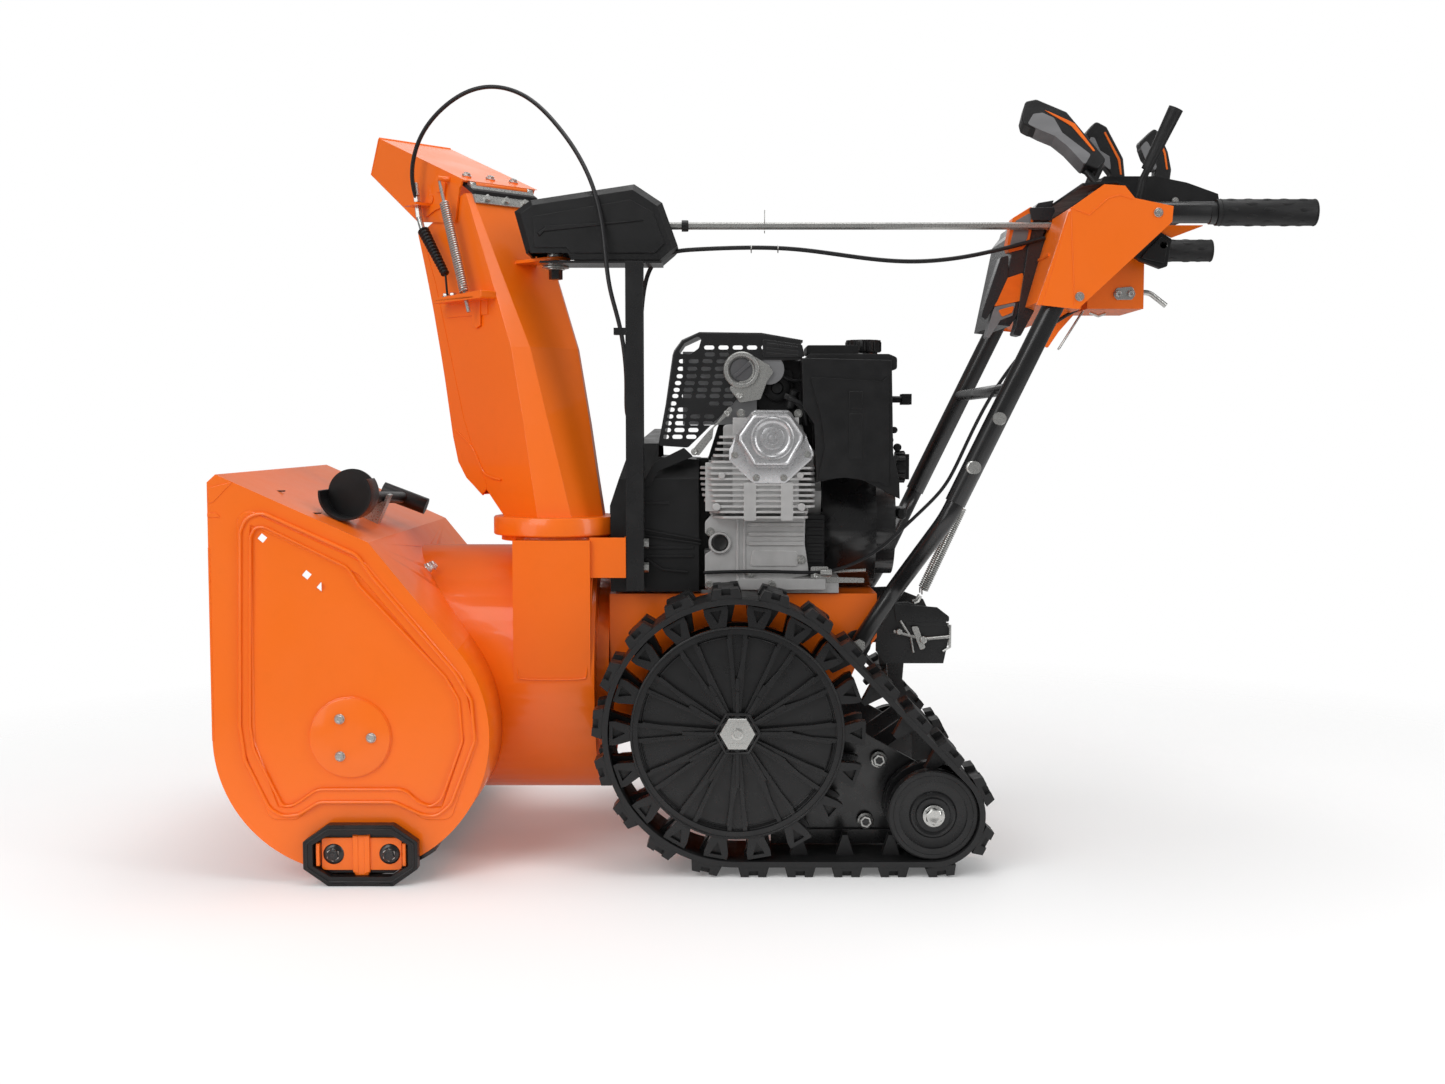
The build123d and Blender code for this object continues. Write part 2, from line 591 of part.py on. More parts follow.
def chute_lever():
    """Bent steel stem and a pistol handle that swings the crank rod; it leans as the chute turns."""
    hub = along_x(494, 518, 0, 0, 14)
    stem = pipe([(507, 0, 12), (509, 0, 66), (505, 0, 104)], 20, 5)
    handle = prism_y([(517, 96), (502, 140), (482, 176), (462, 196), (430, 205), (404, 202), (396, 190),
                      (400, 176), (426, 176), (450, 166), (470, 140), (488, 100)], -16, 16)
    handle = fillet(handle.edges().filter_by(Axis.Y, reverse=True), 4)
    lever = Pos(0, CHUTE_Y, ROD_Z) * Rot(-LEVER_LEAN, 0, 0) * (hub + stem + handle)
    bore = extrude(RegularPolygon(4.8, 6, major_radius=False), amount=60)
    return lever - Plane(origin=(480, CHUTE_Y, ROD_Z), z_dir=(1, 0, 0)) * bore


# ---------------------------------------------------------------- chassis
FRAME_SIDE = [
    (FRAME_FRONT, FRAME_TOP), (170, FRAME_TOP), (170, 322), (140, 281), (96, 180), (FRAME_FRONT, 180),
]


def track_wheel(y_face, y_back, teeth, inner):
    """One toothed rim of a drive wheel, left side."""
    x, z = AXLE_X, AXLE_Z
    cog = [(148, -10), (172, -17), (WHEEL_R, -17), (WHEEL_R, 17), (172, 17), (148, 10)]
    notch = [(158, 0), (176, -8.5), (176, 8.5)]
    one = prism_y(cog, y_face, y_back) - prism_y(notch, y_face - 1, y_face + 9)
    cogs = [Pos(x, 0, z) * Rot(0, i * 360 / teeth, 0) * one for i in range(teeth)]
    rim = along_y(x, y_face, y_back, z, 150) - along_y(x, y_face - 1, y_back + 1, z, inner)
    return rim + cogs


def chassis_frame():
    shell = prism_y(FRAME_SIDE, -FRAME_HALF, FRAME_HALF)
    shell -= prism_y(grown(FRAME_SIDE, -SHEET), -FRAME_HALF + SHEET, FRAME_HALF - SHEET)
    shell -= along_y(AXLE_X, -150, 150, AXLE_Z, 13.5)
    shell -= along_x(-260, -220, 0, IMPELLER_Z, 16)
    return shell - block(-190, -84, -76, 104, FRAME_TOP - 10, FRAME_TOP + 10)


def rear_bracket():
    """Two cheek plates behind the chassis, a shelf between them, and two tabs down to the latch."""
    x = 170.0
    cheek = [(x, 372), (218, 374), (271, 353), (282, 330), (272, 281), (184, 281), (x, 300)]
    body = prism_y(cheek, -122, -118) + prism_y(cheek, 118, 122)
    body += block(x, x + 3, -122, 122, 324, 372)
    body += [block(x, 262, -122, -30, 324, 327), block(x, 262, 30, 122, 324, 327)]
    tab = [(188, 325), (222, 325), (216, 246), (206, 236), (194, 246)]
    return body + [prism_y(tab, -70, -66), prism_y(tab, 66, 70)]


def axle():
    length = 2 * 279.0
    shaft = extrude(RegularPolygon(11, 6, major_radius=False), amount=length)
    return Plane(origin=(AXLE_X, -length / 2, AXLE_Z), z_dir=(0, 1, 0)) * shaft


def track_lug():
    """One tread block with its guide cone, lying flat: belt along Y, side to side along X, outwards +Z."""
    width = TRACK_OUT - TRACK_IN
    half = width / 2
    low, high = BELT_T / 2 - 0.5, BELT_T / 2 + LUG_T
    bar = [(-14, low), (14, low), (11, high), (-11, high)]
    lug = prism_x(bar, -half + 4, half - 4)
    for side in (-1, 1):
        edge = [(-22, low), (22, low), (18, high), (-18, high)]
        a, b = sorted((side * (half - 1), side * (half - 36)))
        lug += prism_x(edge, a, b)
        lug -= Pos(side * (half - 1), 0, high - 4) * Box(18, 13, 9)
        lug -= Pos(side * (half - 28), -12 * side, high) * Box(7, 14, 6)
    root, tip = -BELT_T / 2 + 0.5, -BELT_T / 2 - 29
    cone = [(-13, root), (13, root), (3.5, tip), (-3.5, tip)]
    return lug + prism_x(cone, -22, -4)


def drive_wheel():
    """Left wheel: outer toothed rim on a ribbed disc, drum, and inner toothed rim."""
    x, z = AXLE_X, AXLE_Z
    disc = along_y(x, -272, -264, z, 145) + (along_y(x, -266, -205, z, 132) - along_y(x, -263, -200, z, 128))
    hub = along_y(x, -284, -205, z, 26)
    ribs = []
    for i in range(12):
        turn = Pos(x, 0, z) * Rot(0, i * 30, 0)
        for lean in (-4.6, 4.6):
            ribs.append(turn * Rot(0, lean, 0) * Pos(84, -276, 0) * Box(120, 10, 6))
        ribs.append(turn * Pos(50, -278, 0) * Box(56, 12, 5))
        ribs.append(turn * prism_y([(24, -4), (24, 4), (142, 13), (142, -13)], -275, -270))
    wheel = disc + [hub, *ribs, track_wheel(-284, -264, 18, 141), track_wheel(-221, -205, 18, 130)]
    wheel += hexagon(x, -283, z, (0, -1, 0), 46, 5)
    bore = extrude(RegularPolygon(11, 6, major_radius=False), amount=110)
    return wheel - Plane(origin=(x, -280, z), z_dir=(0, 1, 0)) * bore


def idler_wheel():
    x, z = IDLER_X, IDLER_Z
    wheel = along_y(x, -280, -258, z, IDLER_R) + along_y(x, -222, -200, z, IDLER_R)
    wheel += along_y(x, -280, -200, z, 20)
    wheel -= along_y(x, -281, -274, z, 48) - along_y(x, -281, -274, z, 24)
    return wheel - along_y(x, -300, -180, z, 10.05)


def loop_outline(extra):
    """Track outline round wheel and idler, extra millimetres outside its inner face."""
    big, small = BELT_IN_R + extra, IDLER_IN_R + extra
    dx, dz = IDLER_X - AXLE_X, IDLER_Z - AXLE_Z
    lean = 2 * math.atan2(-dz, dx)
    high = math.pi / 2 - lean
    low = -math.pi / 2

    def at(cx, cz, r, angle):
        return (cx + r * math.cos(angle), cz + r * math.sin(angle))

    a, b = at(AXLE_X, AXLE_Z, big, high), at(IDLER_X, IDLER_Z, small, high)
    c, d = at(IDLER_X, IDLER_Z, small, low), at(AXLE_X, AXLE_Z, big, low)
    edges = [
        Line(a, b),
        ThreePointArc(b, at(IDLER_X, IDLER_Z, small, (high + low) / 2), c),
        Line(c, d),
        ThreePointArc(d, at(AXLE_X, AXLE_Z, big, (high + low) / 2 + math.pi), a),
    ]
    return Wire(edges)


def track_belt():
    """Left rubber track: endless band with tread blocks outside and guide cones inside."""
    outer, inner = make_face(loop_outline(BELT_T)), make_face(loop_outline(0))
    width = TRACK_OUT - TRACK_IN
    band = extrude(side_plane(-TRACK_IN) * (outer - inner), amount=width)
    centre = loop_outline(BELT_T / 2)
    lug = track_lug()
    lugs = []
    for i in range(LUG_COUNT):
        share = (i + 0.5) / LUG_COUNT
        point, along = centre.position_at(share), centre.tangent_at(share)
        normal = Vector(along.Y, -along.X, 0)
        if (point.X - 80) * normal.X + (point.Y - 150) * normal.Y < 0:
            normal = normal * -1
        place = Plane(origin=(point.X, -(TRACK_OUT + TRACK_IN) / 2, point.Y), x_dir=(0, 1, 0),
                      z_dir=(normal.X, 0, normal.Y))
        lugs.append(place * lug)
    return (band + lugs) & block(-400, 400, -300, 0, 0, 500)


def track_frame():
    """Left carriage plate: a boss on the axle, an arm, a slide rail and the idler's axle."""
    y0, y1 = -190.0, -184.0
    arm = [(AXLE_X, AXLE_Z + 42), (92, 196), (146, 188), (236, 139), (262, 110), (262, 62), (214, 46),
           (20, 46), (-62, 168)]
    plate = prism_y(arm, y0, y1) + along_y(AXLE_X, y0 - 6, y1 + 6, AXLE_Z, 42)
    plate += block(10, 232, -198, y0 + 2, 25, 46)
    plate += along_y(IDLER_X, -286, y0 + 2, IDLER_Z, 10) + along_y(IDLER_X, -198, y0, IDLER_Z, 18)
    plate += hexagon(IDLER_X, -282, IDLER_Z, (0, -1, 0), 22, 6)
    for x, z in ((149, 59), (168, 150)):
        plate += along_y(x, y0 - 10, y0, z, 9)
        plate += hexagon(x, y0 - 10, z, (0, -1, 0), 17, 6)
    return plate - along_y(AXLE_X, -210, -170, AXLE_Z, 13)


def track_frames():
    """Both carriage plates, and the cross tube with its latch plates between them."""
    left = track_frame()
    return group(left, mirrored(left), carriage_crossbar())


def carriage_crossbar():
    """Tube that ties both track frames, with two struts that stand up beside the tabs on the chassis."""
    tube = along_y(150, -184, 184, 120, 16)
    strut = [(150, 112), (172, 126), (240, 176), (216, 250), (194, 250), (212, 184), (150, 140)]
    for y in (-60, 54):
        tube += prism_y(strut, y, y + 6)
    return tube + along_y(204, -60, 60, 242, 6)


# ---------------------------------------------------------------- engine
def engine_block():
    """Base plate, crankcase and finned cylinder leaning towards the left."""
    base = block(-60, 112, -142, 130, FRAME_TOP + 2, 414)
    case = prism_x([(-70, 414), (130, 414), (130, 530), (90, 590), (-40, 590), (-100, 540)], -84, 88)
    barrel = prism_x([(-122, 450), (-60, 430), (-60, 590), (-122, 575)], -62, 48)
    fins = []
    for i in range(6):
        y = -118 + i * 10
        fins.append(prism_x([(y, 436), (y + 4, 435), (y + 4, 592), (y, 591)], -78, 64))
    body = base + [case, barrel, *fins]
    body += prism_x([(-122, 413), (-60, 413), (-60, 468), (-122, 452)], -88, 88)
    body += along_y(-59, -134, -120, 465, 15)
    return body - along_x(-100, 120, CRANK_AXIS_Y, CRANK_AXIS_Z, 18)


def cylinder_head():
    """Finned head with the rocker box seat, between the cylinder and the valve cover."""
    core = prism_x([(-122.5, 500), (-122.5, 592), (-152, 594), (-152, 650), (-184, 650), (-184, 520)], -46, 50)
    fins = []
    for i in range(5):
        y = -180 + i * 12
        fins.append(prism_x([(y, 514), (y + 5, 513), (y + 5, 583), (y, 584)], -86, 50))
    return core + fins


def valve_cover():
    """Polished six-sided rocker cover with a dished middle."""
    cx, cz = 11.0, 611.0
    lower = [(-52, 596), (-26, 560), (46, 560), (70, 596), (46, 660), (-26, 660)]
    top = [(-40, 598), (-17, 569), (38, 569), (58, 598), (36, 648), (-16, 648)]
    cover = prism_y(lower, -196, -184.5) + prism_y(top, -214, -195)
    cover = cover - along_y(cx, -220, -208, cz, 21) + along_y(cx, -214, -207, cz, 9)
    return cover + hexagon(cx, -213, cz, (0, -1, 0), 11, 4)


def muffler():
    """Closed canister with its outlet stub and clamp arm, clear of the guard."""
    can = block(-120, -10, -128, -30, 640, 748)
    return can + along_y(8, -146, -120, 721, 22) + block(-12, 8, -128, -110, 704, 738)


GUARD_SIDE = [
    (-132, 758), (-118, 772), (60, 775), (60, 742), (-6, 742), (-20, 690), (-60, 600), (-94, 595), (-153, 617),
]


def muffler_guard():
    """Pierced sheet guard over and beside the muffler, open below, behind and to its rear."""
    shell = prism_y(GUARD_SIDE, -150, -6)
    inner = [(-130, 756), (-117, 769), (80, 772), (80, 500), (-170, 500), (-150, 617)]
    shell -= prism_y(inner, -147.5, 10)
    holes = []
    for row in range(9):
        z = 628 + row * 14.5
        for col in range(7):
            x = -136 + row * 1.5 + col * 15.5
            if x < -50 + row * 5 and not (row > 6 and col == 0):
                holes.append(block(x, x + 10, -152, -145, z, z + 8))
    for col in range(3):
        holes.append(block(-20 + col * 24, -4 + col * 24, -152, -145, 752, 760))
    return shell - holes


def fuel_tank():
    tank = block(24, 200, -45, 150, 662, 742)
    tank = chamfer(tank.edges().filter_by(Axis.Z), 22)
    tank = chamfer(tank.faces().sort_by(Axis.Z)[-1].edges(), 6)
    return tank + along_z(158, -12, 740, 752, 22)


def fuel_cap():
    cap = along_z(158, -12, 752.5, 771, 27)
    grips_cut = [Pos(158, -12, 762) * Rot(0, 0, i * 30) * Pos(28, 0, 0) * Box(5, 5, 24) for i in range(12)]
    return cap - grips_cut


def engine_cowl():
    """Moulded box round the air intake and carburettor: open behind and below, with a wavy lower edge."""
    side = [(54, 736), (184, 733), (187, 598), (196, 560), (197, 532), (150, 556), (124, 566), (76, 556),
            (72, 640), (56, 664)]
    inner = [(57, 733), (181, 730), (184, 598), (193, 560), (193, 540), (150, 560), (124, 570), (79, 560),
             (75, 641), (59, 665)]
    shell = prism_y(side, -190, -62) - prism_y(inner, -187, -50)
    shell -= block(50, 200, -125, -50, 500, 602)
    return shell - block(84, 180, -186, -40, 500, 575)


def recoil_housing():
    """Fan cover over the flywheel and the starter dome behind it."""
    y, z = CRANK_AXIS_Y, CRANK_AXIS_Z
    fan = along_x(90, 172, y, z, 112) - along_x(89, 169, y, z, 109)
    dome = along_x(171, 204, y, z, 84) - along_x(160, 201, y, z, 81)
    fan = (fan + dome) & block(80, 230, -120, 200, FRAME_TOP + 4, 640)
    fan -= block(80, 114, -150, 150, 380, 416)
    vents = [Pos(203, y, z) * Rot(i * 30, 0, 0) * Pos(0, 0, 60) * Box(12, 7, 24) for i in range(12)]
    return fan - vents - block(200, 206, -54, -42, z + 9, z + 21)


def recoil_handle():
    """T-shaped starter grip, seated on the dome."""
    grip_bar = block(206, 220, -78, -18, CRANK_AXIS_Z + 6, CRANK_AXIS_Z + 24)
    grip_bar = fillet(grip_bar.edges(), 5)
    return grip_bar + along_x(199, 208, -48, CRANK_AXIS_Z + 15, 5)


def crankshaft():
    """Crankshaft with its flywheel and the two belt pulleys, all on one shaft."""
    y, z = CRANK_AXIS_Y, CRANK_AXIS_Z
    shaft = along_x(-168, 158, y, z, 13) + along_x(120, 150, y, z, 92)
    return shaft + [pulley(PULLEY_X, y, z, 42, 12.9), pulley(PULLEY_X + 30, y, z, 36, 12.9)]


def transmission():
    """Traction pulley, its shaft and disc, and the rubber friction wheel that touches the disc."""
    y, z = 60, 330
    drive = pulley(PULLEY_X + 30, y, z, 36, 8.9) + along_x(-136, -60, y, z, 9) + along_x(-62, -55, y, z, 44)
    friction = along_y(-15, -24, -12, 318, 39.5) + along_y(-15, -100, 60, 318, 10)
    return group(drive, friction)


def belt_loop(x, y1, z1, r1, y2, z2, r2):
    """V belt round two pulleys on axes along X."""
    def hull(grow):
        a, b = Vector(y1, z1), Vector(y2, z2)
        d = b - a
        base = math.atan2(d.Y, d.X)
        spread = math.acos((r1 - r2) / d.length)
        ring = []
        for centre, r, first, last in ((a, r1 + grow, base + spread, base - spread + 2 * math.pi),
                                       (b, r2 + grow, base - spread, base + spread)):
            for i in range(13):
                t = first + (last - first) * i / 12
                ring.append((centre.X + r * math.cos(t), centre.Y + r * math.sin(t)))
        return ring
    return prism_x(hull(5), x - 4, x + 4) - prism_x(hull(0), x - 5, x + 5)


def drive_belts():
    y, z = CRANK_AXIS_Y, CRANK_AXIS_Z
    attachment = belt_loop(PULLEY_X, y, z, 37, 0, IMPELLER_Z, 73)
    traction = belt_loop(PULLEY_X + 30, y, z, 31, 60, 330, 31)
    return group(attachment, traction)


def belt_cover():
    """Moulded cover over the pulleys, open towards the engine and below, hollowed round the chute ring."""
    def body(wall):
        front = [(-146 + wall, 380), (-146 + wall, 560), (-112 + wall, 612 - wall), (60 - wall, 634 - wall),
                 (132 - wall, 560), (150 - wall, 380)]
        solid = prism_x(front, -240 + wall, -80)
        side = [(-228 + wall, 380), (-228 + wall, 520), (-201 + wall, 600), (-170 + wall, 634 - wall),
                (-157 - wall, 634 - wall), (-157 - wall, 592 - wall), (-96, 588 - wall), (-96, 380)]
        solid = solid & prism_y(side, -300, 300)
        return solid - along_z(CHUTE_X, CHUTE_Y, 370, 507 + wall, RING_R + 4 + wall)
    shell = body(0) - [body(SHEET), Pos(6, 0, 0) * body(SHEET), Pos(0, 0, -8) * body(SHEET)]
    shell -= block(-400, 0, -200, 200, 370, 392)
    ribs = [block(-200, -104, -148.5, -145, z, z + 4) for z in (443, 456)]
    return shell + [*ribs, block(-188, -140, -148.5, -145, 522, 526)]


# ---------------------------------------------------------------- handlebars and console
DASH = [(474, 974), (488, 996), (562, 996), (607, 987), (652, 971), (655, 955), (566, 946)]

DASH_HALF = 185.0

def upper_path(y):
    rise = GRIP_Z - HANDLE_LOW[1]
    corner = (HANDLE_LOW[0] + rise * 0.4877, y, GRIP_Z)
    return [(HANDLE_LOW[0], y, HANDLE_LOW[1]), corner, (HALF_LENGTH - 4, y, GRIP_Z)]


def handlebar_upper():
    tube = pipe(upper_path(-TUBE_Y), 90, 15, 13.6)
    brace = rod((345, -TUBE_Y + 14, 690), (345, TUBE_Y - 14, 690), 9)
    return group(tube, mirrored(tube), brace)


def handlebar_lower():
    """Lower tubes: a foot on the chassis side, an outward bend, and a straight end inside the upper tube."""
    slope = 0.4877
    top = (HANDLE_LOW[0] + 130 * slope, -TUBE_Y, HANDLE_LOW[1] + 130)
    mid = (HANDLE_LOW[0] - 22 * slope, -TUBE_Y, HANDLE_LOW[1] - 22)
    low = (196, -FRAME_HALF - 17, 398)
    foot = (136, -FRAME_HALF - 17, 306)
    tube = pipe([foot, low, mid, top], 60, 13, 10.5)
    pad = along_y(141, -FRAME_HALF - 8, -FRAME_HALF - GAP, 314, 20)
    return both_sides(tube + pad)


def grip():
    start = HALF_LENGTH - 140
    sleeve = along_x(start, HALF_LENGTH, -TUBE_Y, GRIP_Z, 18.5)
    return sleeve - along_x(start - 1, HALF_LENGTH - 4, -TUBE_Y, GRIP_Z, 15)


CONSOLE_SIDE = [
    (424.5, 941), (470, 973), (499, 971), (513, 954), (567, 943), (565.5, 921.5), (436, 800.5), (386, 806),
]


def console_shell():
    """Sheet console: two side plates, a front, a bottom strip, and the box for the switches below."""
    side = prism_y(CONSOLE_SIDE, -CONSOLE_HALF - SHEET, -CONSOLE_HALF)
    body = side + mirrored(side)
    half = CONSOLE_HALF + SHEET / 2
    front = [(430.5, 945), (394, 816), (397, 815.5), (433.5, 944.5)]
    body += prism_y(front, -half, half)
    body += prism_y([(394, 816), (440, 800.5), (441, 803.5), (396, 819)], -half, half)
    body -= along_x(380, 460, CHUTE_Y, ROD_Z, 12)
    for y in (-TUBE_Y, TUBE_Y):
        body -= pipe(upper_path(y), 90, 17.5)
    box = block(470, 552, -168, -28, 808, 905) - block(473, 560, -165, -31, 811, 902)
    box -= block(540, 560, -140, -60, 815, 880)
    box += block(412, 472, -168, -28, 884, 888)
    box += prism_y([(520, 902), (560, 922), (562, 916), (524, 895)], -60, 34)
    return body + box


def console_panel():
    """Black top panel with a hollow dash over it, slots for the levers, and tabs for their pins."""
    half = CONSOLE_HALF - GAP
    top = [(441, 971.5), (486.5, 975.5), (566, 946), (567, 949), (487, 979), (440, 975)]
    panel = prism_y(top, -half, half) + prism_y(DASH, -DASH_HALF, DASH_HALF)
    panel -= prism_y(grown(DASH, -SHEET), -DASH_HALF + SHEET, DASH_HALF - SHEET)
    for (x, z), y in ((SPEED_PIVOT, SPEED_Y), (TILT_PIVOT, TILT_Y)):
        for side in (-1, 1):
            low, high = sorted((y + side * 10, y + side * 13))
            panel += block(x - 9, x + 9, low, high, z - 9, 956)
        panel -= along_y(x, y - 15, y + 15, z, 4)
    panel -= block(490, 522, CHUTE_Y - 75, CHUTE_Y + 85, 930, 1010)
    panel -= block(527, 589, SPEED_Y - 9, SPEED_Y + 9, 930, 1010)
    panel -= block(606, 649, TILT_Y - 9, TILT_Y + 9, 930, 1010)
    for side in (-1, 1):
        panel -= pipe(upper_path(side * TUBE_Y), 90, 17.5)
        low, high = sorted((side * (TUBE_Y - 38), side * (TUBE_Y + 30)))
        panel -= block(506, 580, low, high, 930, 990)
    return panel


def control_lever(foot, handle, y):
    """Console lever: a hub on its cross pin, a round stem, and a moulded handle."""
    hub = along_y(foot[0], y - 6, y + 6, foot[1], 9)
    low = [p for p in handle if p[1] < 1025]
    base_x = sum(p[0] for p in low) / len(low)
    stem = rod((foot[0], y, foot[1] + 6), (base_x, y, 1028), 4)
    grip_body = chamfer(prism_y(handle, y - 13, y + 13).edges().filter_by(Axis.Y, reverse=True), 2.5)
    return hub + stem + grip_body - along_y(foot[0], y - 10, y + 10, foot[1], 4)


SPEED_HANDLE = [
    (513, 1101), (528, 1118), (545, 1109), (572, 1060), (576, 1024), (552, 1023), (552, 1036), (541, 1050),
    (519, 1088),
]

TILT_HANDLE = [
    (612, 1095), (636, 1118), (645, 1111), (659, 1080), (665, 1052), (661, 1019), (636, 1021), (639, 1052),
    (620, 1070),
]


def speed_lever():
    return control_lever(SPEED_PIVOT, SPEED_HANDLE, SPEED_Y)


def deflector_lever():
    return control_lever(TILT_PIVOT, TILT_HANDLE, TILT_Y)


def lever_axles():
    """Cross pins of the two console levers, held by tabs under the panel."""
    speed = along_y(SPEED_PIVOT[0], SPEED_Y - 20, SPEED_Y + 20, SPEED_PIVOT[1], 3.9)
    tilt = along_y(TILT_PIVOT[0], TILT_Y - 20, TILT_Y + 20, TILT_PIVOT[1], 3.9)
    return group(speed, tilt)


CLUTCH_PIVOT = (524.0, 938.0)


CLUTCH_TIP = (578.0, 1085.0)


def clutch_lever():
    """Left safety lever: a flat foot beside the tube and a long sleeved bar over the grip."""
    y = -TUBE_Y + 24
    foot = along_y(CLUTCH_PIVOT[0], y - 4, y + 4, CLUTCH_PIVOT[1], 11)
    bend = [(CLUTCH_PIVOT[0], y, CLUTCH_PIVOT[1]), (534, y, 985), (CLUTCH_TIP[0] - 6, -TUBE_Y + 8, 1068)]
    bar = pipe(bend, 20, 5)
    sleeve = Plane(origin=(540, y + 0.5, 1000), z_dir=(38, -14, 86)) * Pos(0, 0, 46) * Cone(7.5, 10.5, 92)
    return foot + [bar, sleeve] - along_y(CLUTCH_PIVOT[0], y - 10, y + 10, CLUTCH_PIVOT[1], 4)


def headlight_housing():
    """Front lamp housing on the console, with its lens as a second solid."""
    outline = [(413, 972), (436, 976), (427, 946), (390, 814), (372, 788), (352, 790), (380, 928)]
    body = prism_y(outline, -86, 130)
    body -= prism_y([(376, 900), (392, 952), (408, 948), (394, 896)], -72, 116)
    return group(body, headlight_lens())


def headlight_lens():
    return prism_y([(376.6, 901), (391.6, 950), (400, 948), (386, 899)], -71.5, 115.5)


def mode_trigger():
    """Hand lever under the console that frees the track latch."""
    hub = along_y(545, -104, -90, 836, 9)
    bar = pipe([(545, -97, 836), (578, -97, 838), (604, -97, 818)], 20, 4)
    return hub + bar - along_y(545, -110, -80, 836, 4)


# ---------------------------------------------------------------- small engine controls and loose items
TOOL_SLOPE = math.degrees(math.atan2(571 - 477, 760 - 551))

TOOL_AXIS = ((-596.0, -192.0, 535.0), (-563.0, 4.0, 526.0))


def throttle_knob():
    """Round ribbed knob on the rear of the intake box."""
    knob = along_x(198, 212, -110, 577, 22)
    ribs = [Pos(205, -110, 577) * Rot(i * 30, 0, 0) * Pos(0, 22, 0) * Box(14, 4, 5) for i in range(12)]
    return knob + [*ribs, block(211, 219, -114, -106, 558, 596), along_x(193.7, 199, -110, 577, 5)]


def choke_knob():
    """Paddle on a short stem, above the throttle knob."""
    return along_x(186, 210, -96, 678, 5) + block(208, 222, -114, -78, 670, 686)


def clean_out_tool():
    """Scoop, shaft and cross grip, lying side to side in its clip on the housing top."""
    cx, cz = -598.0, 541.0
    back = along_y(cx, -196, -191, cz, 35)
    tray = along_y(cx, -244, -191, cz, 38) - along_y(cx, -245, -196, cz, 35)
    tray -= prism_y([(-700, 556), (-600, 541), (-540, 580), (-540, 620), (-700, 620)], -250, -190)
    shaft = rod(*TOOL_AXIS, 9)
    cross = rod((-596, 4, 538), (-528, 4, 512), 13)
    return back + [tray, shaft, cross]


def tool_clip():
    """Saddle on the housing top that the tool's shaft snaps into; it is open away from the sheet."""
    a, b = Vector(*TOOL_AXIS[0]), Vector(*TOOL_AXIS[1])
    middle = a + (b - a) * 0.5
    saddle = Rot(0, TOOL_SLOPE, 0) * (Pos(0, 0, -14) * Box(28, 24, 48) - Pos(0, 0, 12) * Box(19.4, 30, 30))
    saddle = Pos(middle.X, middle.Y, middle.Z) * saddle
    return saddle - rod(TOOL_AXIS[0], TOOL_AXIS[1], 9.4) - housing_solid(0, HOUSING_HALF)


def clutch_cables():
    """Two wires under the console, each ending in a long extension spring at the chassis."""
    shapes = []
    for y in (-134, -108):
        wire = rod((430, y, 797), (300.5, y, 524), 1.6)
        spring = rod((300, y, 523), (236, y, 384), 6.5)
        shapes += [wire, spring]
    throttle = cable([(216, -96, 440), (246, -104, 452), (284, -118, 482), (318, -140, 528), (342, -160, 586),
                      (368, -176, 650), (396, -186, 716), (428, -190, 772), (452, -190, 806)], 2.6)
    return group(*shapes, throttle)


def fasteners():
    """Bolt heads, nuts, lever pins and the tool clip: small parts fixed to the machine."""
    heads = []
    face = -HOUSING_HALF - 4
    for x, z in ((-593, 231.5), (-549.5, 205), (-593, 179)):
        heads.append(hexagon(x, face, z, (0, -1, 0), 11, 5))
    for z in (579, 648):
        x = HANDLE_LOW[0] + (z - HANDLE_LOW[1]) * 0.4877
        heads.append(along_y(x, -TUBE_Y - 19, -TUBE_Y - 15.2, z, 9))
    heads.append(hexagon(141, -FRAME_HALF - 30.3, 314, (0, -1, 0), 17, 3))
    heads += [*skid_bolts().solids()]
    pairs = both_sides(group(*heads))
    single = [
        hexagon(-176.5, -165, 465, (1, 0, 0), 13, 7),
        hexagon(-176.5, -165, 430, (1, 0, 0), 13, 7),
        hexagon(-20, -132.5, 414, (0, 0, 1), 13, 7),
    ]
    for y in (-150, 0, 150):
        t = math.radians(-62)
        r = HOUSING_R + 6
        place = (AUGER_X + r * math.cos(t), y, AUGER_Z + r * math.sin(t))
        single.append(hexagon(*place, (math.cos(t), 0, math.sin(t)), 13, 5))
    return group(pairs, *single, lever_axles(), tool_clip())


